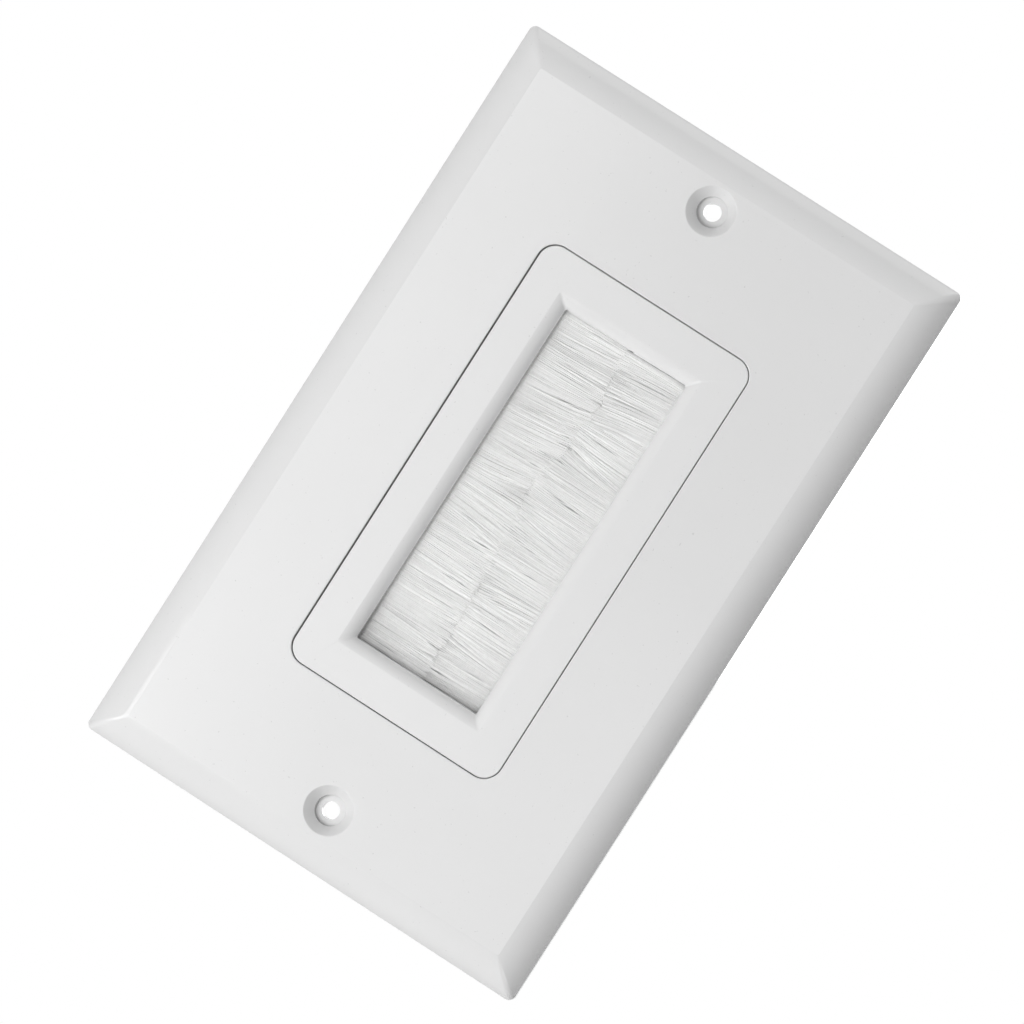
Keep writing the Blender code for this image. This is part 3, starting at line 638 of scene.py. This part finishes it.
def make_insert():
    """Bezel and strap with a tray behind, then the cavity, the rolled window and the holes."""
    sections = [(BEZEL_HALF, BEZEL_CORNER, STRAP_LEVELS[1] - OVERLAP)]
    for outward, down in rolled_edge(EDGE_ROUND, EDGE_ROUND, EDGE_SLOPES, EDGE_STEPS)[::-1]:
        shrink = EDGE_ROUND - outward
        sections.append((BEZEL_HALF - shrink, BEZEL_CORNER - shrink, PLATE_DEPTH - down))
    points, faces = lofted(sections)
    insert = add_mesh("insert", (points + (INSERT_SHIFT, 0, 0), faces))
    carve(insert, prism(strap_outline(), *STRAP_LEVELS), "UNION")
    tray = prism(rounded_rectangle(TRAY_HALF, TRAY_CORNER), TRAY_BACK, STRAP_LEVELS[0] + OVERLAP)
    carve(insert, tray, "UNION")

    side, skirt = CAVITY_HALF[0], SKIRT_HALF[0]
    low = TRAY_BACK - CLEAR
    half = [(side, low), (side, POCKET_CEILING), (skirt, POCKET_CEILING), (skirt, SKIRT_BACK)]
    section = np.array(half + [(-x, z) for x, z in half[::-1]])
    carve(insert, run_along_y(section, CAVITY_HALF[1]))

    sections = [(WINDOW_HALF, MITRE_CORNER, SKIRT_BACK - CLEAR)]
    for inward, down in rolled_edge(LIP_WIDTH, LIP_DROP, LIP_SLOPES)[::-1]:
        sections.append((LIP_HALF - inward, MITRE_CORNER, PLATE_DEPTH - down))
    above = CLEAR * math.tan(math.radians(LIP_SLOPES[0]))
    sections.append((LIP_HALF + CLEAR, MITRE_CORNER, PLATE_DEPTH + above))
    carve(insert, lofted(sections))

    holes = []
    core_half_x = RETAINER_SCREW_X - PILOT_RADIUS - CORE_WALL
    core_low, core_high = CAVITY_HALF[1] + CORE_WALL, TRAY_HALF[1] - CORE_WALL
    for up in (1, -1):
        core_half = (core_half_x, (core_high - core_low) / 2)
        middle = (0, up * (core_high + core_low) / 2)
        core = rounded_rectangle(core_half, CORE_CORNER, SMALL_CORNER_STEPS, middle)
        holes.append(prism(core, low, SCREW_TIP))
        ear = (0, up * COVER_SCREW_Y)
        holes.append(prism(circle(ear, TAPPED_RADIUS), *THROUGH_STRAP))
        recess = circle(ear, TAPPED_RECESS_RADIUS)
        holes.append(prism(recess, TAPPED_RECESS_LEVEL, THROUGH_STRAP[1]))
        box_slot = slot_outline(np.array((0, up * BOX_SCREW_Y)), *BOX_SLOT)
        holes.append(prism(box_slot, *THROUGH_STRAP))
    for place in screw_places():
        holes.append(prism(circle(place, PILOT_RADIUS, BORE_STEPS), low, PILOT_TOP))
    carve(insert, joined(holes))
    dress(insert, insert_plastic, "insert_frame")


def make_retainer():
    """Flat frame behind the strips, with a rounded collar round the cable way."""
    outline = rounded_rectangle(TRAY_HALF, TRAY_CORNER)
    retainer = add_mesh("retainer", prism(outline, *RETAINER_LEVELS))
    low, high = RETAINER_LEVELS[0] - CLEAR, RETAINER_LEVELS[1] + CLEAR
    opening_half = WINDOW_HALF + RETAINER_OPENING_GROW
    opening = rounded_rectangle(opening_half, MITRE_CORNER, SMALL_CORNER_STEPS)
    holes = [prism(opening, low, high)]
    for place in screw_places():
        holes.append(prism(circle(place, RETAINER_HOLE_RADIUS), low, high))
    carve(retainer, joined(holes))
    crown = rolled_edge(COLLAR_CROWN, COLLAR_CROWN, COLLAR_SLOPES, BREAK_STEPS)
    back, front = COLLAR_LEVELS
    sections = []
    for outward, down in crown:
        grow = COLLAR_CROWN - outward
        sections.append((SKIRT_HALF - grow, COLLAR_CORNER - grow, back + down))
    for outward, down in crown[::-1]:
        grow = COLLAR_CROWN - outward
        sections.append((SKIRT_HALF - grow, COLLAR_CORNER - grow, front - down))
    for outward, down in crown:
        grow = COLLAR_CROWN - outward
        sections.append((WINDOW_HALF + grow, MITRE_CORNER, front - down))
    for outward, down in crown[::-1]:
        grow = COLLAR_CROWN - outward
        sections.append((WINDOW_HALF + grow, MITRE_CORNER, back + down))
    carve(retainer, lofted(sections, wrap=True), "UNION")
    dress(retainer, retainer_plastic, "back_frame")


def make_screws():
    """Turned pan heads with a cross recess, on a shank whose radius follows the thread's wave."""
    rim = SCREW_SEAT - SCREW_HEAD_HEIGHT * SCREW_HEAD_STRAIGHT
    top = SCREW_SEAT - SCREW_HEAD_HEIGHT
    turns = np.linspace(0, QUARTER, HEAD_STEPS + 1)
    crown_radius, crown_level = SCREW_HEAD_RADIUS * np.cos(turns), rim + (top - rim) * np.sin(turns)
    levels = np.linspace(SCREW_TIP - 0.05, SCREW_SEAT + 0.25, SHANK_STEPS)
    ridge = 0.5 + 0.5 * np.cos(math.tau * levels / THREAD_PITCH)
    full = SCREW_CORE_RADIUS + (SCREW_SHANK_RADIUS - SCREW_CORE_RADIUS) * ridge**3
    taper = np.clip((SCREW_TIP - levels) / SCREW_TAPER_LENGTH, 0, 1)
    profile = np.concatenate(
        (
            ((SCREW_POINT_RADIUS, SCREW_TIP),),
            np.stack((full * (0.3 + 0.7 * taper), levels), axis=1),
            ((SCREW_CORE_RADIUS, SCREW_SEAT),),
            ((SCREW_HEAD_RADIUS - SCREW_HEAD_BREAK, SCREW_SEAT),),
            ((SCREW_HEAD_RADIUS, SCREW_SEAT - SCREW_HEAD_BREAK),),
            np.stack((crown_radius, crown_level), axis=1)[:-1],
            ((SCREW_POINT_RADIUS, top),),
        )
    )
    wing = ((CROSS_CORE, -CROSS_CORE),)
    wing += ((CROSS_REACH, -CROSS_HALF_WIDTH), (CROSS_REACH, CROSS_HALF_WIDTH))
    for number, place in enumerate(screw_places(), start=1):
        screw = add_mesh(f"screw_{number}", turned(profile, place))
        cross = []
        for quarter in range(4):
            turn = QUARTER * quarter + CROSS_TURN * number
            cos, sin = math.cos(turn), math.sin(turn)
            for x, y in wing:
                cross.append((place[0] + x * cos - y * sin, place[1] + x * sin + y * cos))
        carve(screw, prism(np.array(cross), top - CLEAR, top + CROSS_DEPTH))
        dress(screw, screw_steel, f"retainer_screw_{number}", crease=25.0)


def make_channel(side, word):
    """Sheet of even thickness folded round the bundle: the path's offset to both sides, along y."""
    mouth = CHANNEL_MOUTH_HALF + CHANNEL_SHEET / 2
    leg = CHANNEL_HALF_HEIGHT - CHANNEL_SHEET / 2
    spine = CHANNEL_SPINE_X - CHANNEL_SHEET / 2
    crimp = [
        (CHANNEL_MOUTH_X, mouth),
        (CHANNEL_MOUTH_X + CRIMP_LENGTH, mouth),
        (CHANNEL_MOUTH_X + 2 * CRIMP_LENGTH, leg),
    ]
    bend = arc((spine - CHANNEL_BEND, leg - CHANNEL_BEND), CHANNEL_BEND, QUARTER, 0, BEND_STEPS)
    upper = np.concatenate((crimp, bend))
    path = np.concatenate((upper, upper[::-1] * (1, -1)))
    step = np.diff(path, axis=0)
    step /= np.linalg.norm(step, axis=1)[:, None]
    normal = np.stack((-step[:, 1], step[:, 0]), axis=1)
    before = np.concatenate((normal[:1], normal))
    after = np.concatenate((normal, normal[-1:]))
    mitre = (before + after) / (1 + (before * after).sum(axis=1))[:, None]
    offset = mitre * CHANNEL_SHEET / 2
    outline = np.concatenate((path + offset, (path - offset)[::-1]))
    outline = outline * (side, 1) + (0, STRIP_LEVEL)
    channel = add_mesh(f"channel_{word}", run_along_y(outline, STRIP_HALF_LENGTH))
    dress(channel, channel_steel, f"brush_channel_{word}", crease=20.0)


def make_wire(side, word):
    """Round wire along the channel, its ends broken a little."""
    outline = circle((side * WIRE_X, STRIP_LEVEL), WIRE_RADIUS, WIRE_STEPS)
    wire = add_mesh(f"wire_{word}", run_along_y(outline, STRIP_HALF_LENGTH, WIRE_END_ROUND))
    dress(wire, wire_steel, f"core_wire_{word}", crease=30.0)


def make_bundle(side, word):
    """Where the filaments turn round the wire: a closed sleeve, narrowed to the strip's depth."""
    opening = math.pi - math.asin(BUNDLE_HALF / BUNDLE_RADIUS)
    outer = arc((WIRE_X, 0), BUNDLE_RADIUS, -opening, opening, BORE_STEPS)
    half_front = BUNDLE_HALF - BUNDLE_PLAY
    front = [(BUNDLE_FRONT_X, half_front), (BUNDLE_FRONT_X, -half_front)]
    outline = np.concatenate((outer, front)) * (side, 1) + (0, STRIP_LEVEL)
    half_length = STRIP_HALF_LENGTH - BUNDLE_PLAY / 2
    bundle = add_mesh(f"bundle_{word}", run_along_y(outline, half_length))
    bore = circle((side * WIRE_X, STRIP_LEVEL), WIRE_RADIUS + BUNDLE_PLAY, WIRE_STEPS)
    carve(bundle, run_along_y(bore, BORE_HALF_LENGTH))
    add_shade(bundle.data, np.full(len(bundle.data.vertices), BUNDLE_SHADE))
    dress(bundle, bristle_nylon, f"bristles_{word}", crease=30.0)


def add_shade(mesh, values):
    """The brightness of each point of a mesh, which its nylon reads."""
    layer = mesh.attributes.new("shade", "FLOAT", "POINT")
    layer.data.foreach_set("value", values.astype(np.float32))


# (y, value) rows along the brush, from its top to its bottom: how many degrees the filaments of
# each strip rise from root to tip
LEAN_LEFT = np.array(
    (
        (27, 2), (22, 5), (20, 3), (18.5, 1), (17, 3), (15.7, 6), (13, 7), (9.5, 8), (8, 4),
        (5.7, 1), (4, 7), (2, 6), (0, -2), (-3, -4), (-5.5, -5), (-7, 2), (-10, 0), (-12.7, -1),
        (-15.5, 3), (-19.5, 1), (-22, 0), (-27, -1),
    )
)[::-1]
LEAN_RIGHT = np.array(
    (
        (27, -3), (22, -4), (19.5, -8), (17, -9), (15.5, -3), (13.3, 3), (9.5, 9), (7.3, 2),
        (4, 4), (1, 1), (-1.3, 8), (-4, 3), (-6.3, 0), (-9.5, 0), (-11.7, -8), (-13, 0),
        (-15.5, 2), (-18.2, 0), (-20, 4), (-22, -2), (-27, -3),
    )
)[::-1]
# Where the tips of the two strips meet, in x, and which strip's tips lie in front (1 is the left)
SEAM = np.array(
    (
        (27, 0), (22, 0.3), (19, 0.7), (15.5, 0.9), (14, 0.3), (12, 0.3), (10, 0.4), (8, -0.2),
        (5, -0.35), (2, -0.3), (0, -0.1), (-9, -0.1), (-12, 0.2), (-14, 0.5), (-22, 0.5),
        (-27, 0.3),
    )
)[::-1]
IN_FRONT = np.array(
    (
        (27, 0.2), (24, 0.6), (21, 1), (14.8, 1), (13.5, 0.3), (11.8, 0.9), (10, 0.6), (8.5, -0.8),
        (2, -0.9), (0, -0.2), (-9, 0), (-12, 0.7), (-14, 1), (-24, 1), (-27, 0.6),
    )
)[::-1]
# Where the front filaments part: from (x, y) to (x, y), and how far each side moves
PARTINGS = (
    (-8.4, 25.1, -4.9, 25.3, 0.05), (-5.8, 26.2, -1.6, 26.2, 0.10), (0.2, 23.7, 2.5, 23.7, 0.12),
    (2.1, 22.2, 4.9, 22.3, 0.10), (-6.1, 20.3, -3.1, 20.3, 0.07), (-4.2, 15.9, 0.0, 16.1, 0.10),
    (2.7, 13.6, 6.4, 13.5, 0.11), (0.6, 11.3, 2.4, 10.7, 0.16), (3.2, 10.3, 9.0, 9.4, 0.09),
    (-2.4, 8.4, 0.3, 8.8, 0.16), (-5.6, 6.6, -4.0, 6.6, 0.12), (-3.0, 6.6, 0.0, 5.7, 0.15),
    (0.8, 4.5, 7.8, 3.7, 0.12), (-3.6, 2.5, 0.2, 2.5, 0.07), (-4.0, 1.4, 0.2, 1.5, 0.06),
    (-9.5, -3.8, -6.2, -3.9, 0.06), (0.0, -3.2, 7.0, -4.4, 0.08), (-3.6, -5.3, -0.4, -5.5, 0.07),
    (-4.2, -6.8, -0.3, -6.6, 0.12), (0.2, -5.9, 5.2, -6.1, 0.06), (1.7, -6.8, 7.6, -6.9, 0.07),
    (-5.6, -11.9, -1.8, -11.9, 0.07), (-4.2, -12.85, -1.2, -12.7, 0.14),
    (3.5, -12.1, 5.8, -12.0, 0.14), (0.7, -11.9, 2.6, -11.3, 0.08),
    (0.8, -14.4, 4.1, -14.4, 0.08), (1.1, -15.9, 7.6, -15.9, 0.07),
    (-8.3, -19.65, -0.6, -19.6, 0.05), (2.0, -22.6, 9.3, -22.3, 0.06),
    (0.8, -24.5, 2.6, -24.6, 0.14), (1.7, -25.9, 7.0, -25.5, 0.07),
    (0.2, -18.0, 2.0, -18.1, 0.14), (0.2, -20.3, 2.2, -20.5, 0.14),
    (0.2, -21.9, 1.8, -21.9, 0.20), (0.2, -23.1, 2.4, -23.3, 0.16), (0.5, 20.4, 1.9, 20.2, 0.16),
    (0.5, 18.4, 2.0, 18.2, 0.14), (0.6, 16.5, 2.2, 16.4, 0.16), (0.0, 12.1, 1.6, 12.0, 0.20),
    (0.1, 11.0, 1.4, 10.8, 0.16),
)


def along(table, y):
    """The table's value at each height, in straight stretches between its rows."""
    return np.interp(y, table[:, 0], table[:, 1])


def clumped(chance, y, width):
    """(index, middle) of the clump, 0.35 to 1.65 widths wide, that each height falls in."""
    widths = width * (0.35 + 1.3 * chance.random(int(CLUMPED_LENGTH / width)))
    edges = np.cumsum(widths) + CLUMPED_FROM
    index = np.clip(np.searchsorted(edges, y), 1, len(edges) - 1)
    return index, (edges[index - 1] + edges[index]) / 2


def parted(x, y, surface):
    """Heights moved apart by root(surface) exp(-(distance / width)^2) of each parting's opening.

    Also the shadow in the partings, by the same Gaussian of a narrower width.
    """
    shadow = np.zeros_like(y)
    for start_x, start_y, end_x, end_y, opening in PARTINGS:
        run = (x - start_x) / (end_x - start_x)
        inside = np.clip(4 * run, 0, 1) * np.clip(4 * (1 - run), 0, 1)
        off = y - start_y - (end_y - start_y) * run
        moved = np.sqrt(surface)[:, None] * inside * np.exp(-((off / PARTING_WIDTH) ** 2))
        y = y + opening * moved * np.sign(off)
        dark = PARTING_SHADE * opening * inside
        shadow = shadow + dark * np.exp(-((off / PARTING_SHADE_WIDTH) ** 2))
    return y, shadow


def filaments(side, share, chance, count):
    """Paths, (filaments, stations, 3), of the legs in one half of the strip's depth; their shadow.

    A leg runs x = root + (tip - root) t, where t = s^1.3 of even stations s, and its tip ends past
    the seam. Its height gains lean t^1.5, and the pull of its tuft and its wisp t^2. Its level is
    the half strip's times root(outward), spread by a third once past the skirt; inner legs rise
    toward the surface with t^2, and legs dip with t^2 where the other strip's lie in front. The
    shadow is (1 + partings) (1 - outward)^1.5, so only covered legs are dark.
    """
    per_layer = count // LAYERS
    layer = np.repeat(np.arange(LAYERS), per_layer)
    spot = np.tile(np.arange(per_layer), LAYERS) + 0.25 + 0.5 * chance.random(LAYERS * per_layer)
    limit = STRIP_HALF_LENGTH - END_MARGIN
    root_y = (spot / per_layer * 2 - 1) * limit
    outward = (layer + 0.5 + 0.4 * (chance.random(len(layer)) - 0.5)) / LAYERS
    top = share * (BUNDLE_HALF - FILAMENT_RADIUS)
    level = top * np.sqrt(outward)
    surface = outward**2 if share > 0 else 0 * outward

    lean = along(LEAN_LEFT if side < 0 else LEAN_RIGHT, root_y)
    slipped_y = root_y + LAYER_SLIP * layer
    tuft, tuft_y = clumped(chance, slipped_y, TUFT_WIDTH)
    wisp, wisp_y = clumped(chance, slipped_y, WISP_WIDTH)
    own = chance.standard_normal(len(layer))
    lean = lean + TUFT_LEAN * chance.standard_normal(TUFTS)[tuft]
    lean = lean + WISP_LEAN * chance.standard_normal(WISPS)[wisp]
    y_gain = LEG_SPAN * np.tan(np.radians(lean + OWN_LEAN * own))
    tuft_pull = surface * (TUFT_PULL[0] + TUFT_PULL[1] * chance.random(TUFTS)[tuft] ** 2)
    wisp_pull = WISP_PULL[0] + WISP_PULL[1] * chance.random(WISPS)[wisp] ** 2
    y_pull = (tuft_pull * tuft_y + wisp_pull * wisp_y) - (tuft_pull + wisp_pull) * slipped_y

    tip_y = root_y + y_gain + y_pull
    front = along(IN_FRONT, tip_y) * -side
    over, under = np.clip(front, 0, 1), np.clip(-front, 0, 1)
    ragged = WISP_RAGGED * chance.standard_normal(WISPS)[wisp]
    ragged = ragged + OWN_RAGGED * (chance.random(len(layer)) - 0.5)
    short = SHORT_BY * under * (chance.random(WISPS)[wisp] > SHORT_FROM)
    past_seam = np.where(surface > 0.25, SURFACE_OVERLAP - short, INNER_OVERLAP) + ragged
    tip_x = along(SEAM, tip_y) - side * past_seam
    dip = WISP_DIP[0] + WISP_DIP[1] * chance.random(WISPS)[wisp] ** 4
    lift = TIP_LIFT * over * surface - dip * under * outward
    lift = lift + CLUMP_LIFT * chance.standard_normal(TUFTS)[tuft]
    lift = lift + CLUMP_LIFT * chance.standard_normal(WISPS)[wisp]
    lift = lift * (share > 0)

    t = np.linspace(0, 1, STATIONS)[None, :] ** ROOT_CROWDING
    root_x = side * (ROOT_X + ROOT_SCATTER * chance.random(len(layer)))[:, None]
    x = root_x + (tip_x[:, None] - root_x) * t
    sway = SWAY * chance.standard_normal(len(layer))[:, None] * np.sin(math.pi * t)
    y = root_y[:, None] + y_gain[:, None] * t**1.5 + y_pull[:, None] * t**2 + sway
    y, parting_shadow = parted(x, y, surface)
    y = np.clip(y, -limit, limit)
    y = np.minimum(y, CROWDED_ABOVE + (y - CROWDED_ABOVE) * CROWDING)
    spread = 1 + SKIRT_SPREAD * np.clip((t - SPREAD_START[side]) / SPREAD_LENGTH, 0, 1)
    rise = TIP_RISE * (top - level[:, None]) * t**2
    sunk = LOWER_END_SINK * np.clip((LOWER_END_Y - y) / LOWER_END_REACH, 0, 1) * (share > 0)
    z = STRIP_LEVEL + (level[:, None] + rise) * spread + lift[:, None] * t**2 - sunk
    by_skirt = np.abs(x) > WINDOW_HALF[0] - SKIRT_MARGIN
    reach = np.where(by_skirt, BUNDLE_HALF + SKIRT_HEADROOM, BUNDLE_HALF + WINDOW_HEADROOM)
    z = np.clip(z, STRIP_LEVEL - reach, STRIP_LEVEL + reach)
    covered = 1 - outward[:, None]
    return np.stack((x, y, z), axis=2), (1.0 + parting_shadow) * covered**1.5


def filament_mesh(paths, side):
    """Four-sided rods along the paths: point + radius (0, cos a, -side sin a), narrower at the tip.

    The two ends have corners of their own, so that they stay flat and the sides shade round.
    """
    count, stations = paths.shape[:2]
    turns = np.arange(4) * QUARTER + math.pi / 4
    ring = np.stack((np.zeros(4), np.cos(turns), side * -np.sin(turns)), axis=1)
    taper = np.full(stations, FILAMENT_RADIUS)
    taper[-1] *= TIP_TAPER
    rods = paths[:, :, None, :] + taper[None, :, None, None] * ring[None, None]
    points = np.concatenate((rods, rods[:, :1], rods[:, -1:]), axis=1)
    starts = np.arange(count)[:, None, None] * (stations + 2) * 4
    tubes = (grid_faces(stations, 4)[None] + starts).reshape(-1, 4)
    ends = stations * 4 + np.array(((3, 2, 1, 0), (4, 5, 6, 7)))
    caps = (ends[None] + starts).reshape(-1, 4)
    return points.reshape(-1, 3), [tubes, caps]


def make_brush(side, word):
    """One strip's filaments, in a front and a back half, each with the shade of its points.

    The shade is the filament's own, less its painted shadow, a painted shade that grows toward the
    lower end and most of all its left corner, and a painted shade under the window's top wall.
    """
    for number, (share, half) in enumerate(((1, "front"), (-1, "back"))):
        chance = np.random.default_rng(40 + 10 * number + side)
        paths, shadow = filaments(side, share, chance, FILAMENTS_PER_HALF)
        brush = add_mesh(f"brush_{word}_{half}", filament_mesh(paths, side))
        x, y = paths[:, :, 0], paths[:, :, 1]
        own = SHADE_MEAN + SHADE_SCATTER * chance.standard_normal(len(paths))[:, None]
        # Painted shade: darker toward the lower end and its left corner, and under the top wall
        painted_end_shade = np.clip((PAINTED_SHADE_BELOW - y) / PAINTED_SHADE_REACH, 0, 1) ** PAINTED_SHADE_POWER
        corner = np.clip((PAINTED_SHADE_CORNER_X - x) / PAINTED_SHADE_CORNER_REACH, 0, 1) if side < 0 else PAINTED_SHADE_RIGHT
        edge = np.clip((y - TOP_EDGE_Y) / TOP_EDGE_REACH, 0, 1)
        shade = own - (PAINTED_SHADE_LEAST + PAINTED_SHADE_MORE * corner) * painted_end_shade - TOP_EDGE_PAINTED_SHADE * edge - shadow
        shade = np.concatenate((shade, shade[:, :1], shade[:, -1:]), axis=1)
        add_shade(brush.data, np.repeat(shade.ravel(), 4))
        dress(brush, bristle_nylon, f"bristles_{word}", crease=0)


make_cover()
make_insert()
make_retainer()
make_screws()
for side, word in ((-1, "left"), (1, "right")):
    make_channel(side, word)
    make_wire(side, word)
    make_bundle(side, word)
    make_brush(side, word)


def make_camera():
    """A long lens a metre away, a little to the right, rolled by a third of a right angle."""
    data = bpy.data.cameras.new("camera")
    data.lens = 258.17
    data.sensor_width = 36
    camera = bpy.data.objects.new("camera", data)
    camera.location = (0.100, -1.000, 0.02946)
    camera.rotation_euler = Euler([math.radians(a) for a in (87.955, -32.536, 6.890)], "XYZ")
    bpy.context.scene.collection.objects.link(camera)
    bpy.context.scene.camera = camera


def seen_white(tree, shader_out, lit):
    """White to the camera, to gloss and through glass; the lit shader to all other light."""
    path = tree.nodes.new("ShaderNodeLightPath")
    seen = path.outputs["Is Camera Ray"]
    for name in ("Is Glossy Ray", "Is Transmission Ray"):
        either = tree.nodes.new("ShaderNodeMath")
        either.operation = "MAXIMUM"
        tree.links.new(seen, either.inputs[0])
        tree.links.new(path.outputs[name], either.inputs[1])
        seen = either.outputs["Value"]
    in_world = lit.bl_idname == "ShaderNodeBackground"
    white = tree.nodes.new("ShaderNodeBackground" if in_world else "ShaderNodeEmission")
    white.inputs["Color"].default_value = (1, 1, 1, 1)
    white.inputs["Strength"].default_value = 1.0
    mix = tree.nodes.new("ShaderNodeMixShader")
    tree.links.new(seen, mix.inputs["Fac"])
    tree.links.new(lit.outputs[0], mix.inputs[1])
    tree.links.new(white.outputs[0], mix.inputs[2])
    tree.links.new(mix.outputs["Shader"], shader_out)


def make_world(level):
    """Even light of the given level from all around."""
    world = bpy.data.worlds.new("studio")
    bpy.context.scene.world = world
    world.use_nodes = True
    tree = world.node_tree
    air = tree.nodes["Background"]
    air.inputs["Color"].default_value = (1, 1, 1, 1)
    air.inputs["Strength"].default_value = level
    seen_white(tree, tree.nodes["World Output"].inputs["Surface"], air)


def make_floor():
    """A pale floor well below the plate."""
    corners = FLOOR_HALF * np.array(((-1, -1), (1, -1), (1, 1), (-1, 1)))
    points = np.column_stack((corners[:, 0], np.full(4, -FLOOR_BELOW), -corners[:, 1]))
    floor = add_mesh("floor", (points, [np.arange(4)[None, :]]))
    finish = Finish("floor_paper", (0.86, 0.86, 0.86), 0.9)
    finish.drive(roughness=finish.spread(finish.noise(60, 3), 0.85, 0.95))
    floor.data.materials.append(finish.material)


def add_softbox(name, place, toward, size, radiance):
    """A rectangular lamp at a place, which shines against the toward direction."""
    data = bpy.data.lights.new(name, "AREA")
    data.shape = "RECTANGLE"
    data.size, data.size_y = size
    data.energy = radiance * math.pi * size[0] * size[1]
    lamp = bpy.data.objects.new(name, data)
    lamp.location = place
    lamp.rotation_euler = Vector(toward).to_track_quat("Z", "Y").to_euler()
    bpy.context.scene.collection.objects.link(lamp)
    return lamp


def add_angled_softbox(name, tilt, azimuth, radiance):
    """A square lamp, tilted off the plate's face by so many degrees at an azimuth."""
    tilt, azimuth = math.radians(tilt), math.radians(azimuth)
    across = math.sin(tilt)
    toward = Vector((across * math.cos(azimuth), -math.cos(tilt), across * math.sin(azimuth)))
    return add_softbox(name, toward * SOFTBOX_DISTANCE, toward, SOFTBOX_SIZE, radiance)


bpy.context.scene.view_settings.view_transform = "Standard"
make_camera()
make_world(0.2)
make_floor()
# Two panels whose glossy image ends inside the face: left of x = -12 mm, and below z = -2.5 mm
add_softbox("panel_left", (-0.1642, -0.6, -0.025), (0, -1, 0), (0.1716, 0.45), 1.90)
add_softbox("panel_low", (0.0208, -0.6, -0.13585), (0, -1, 0), (0.1984, 0.2283), 0.71)
add_angled_softbox("key_softbox", 35, 225, 4.16)
add_angled_softbox("low_left_softbox", 60, 225, 3.5)
add_angled_softbox("low_right_softbox", 60, 315, 2.33)
add_angled_softbox("top_softbox", 80, 90, 3.3).visible_glossy = False
add_angled_softbox("rim_softbox", 102, 90, 1.1)
add_softbox("back_softbox", (0.25, 0.7, 0.25), (0.25, 0.7, 0.25), (0.6, 0.6), 1.5)
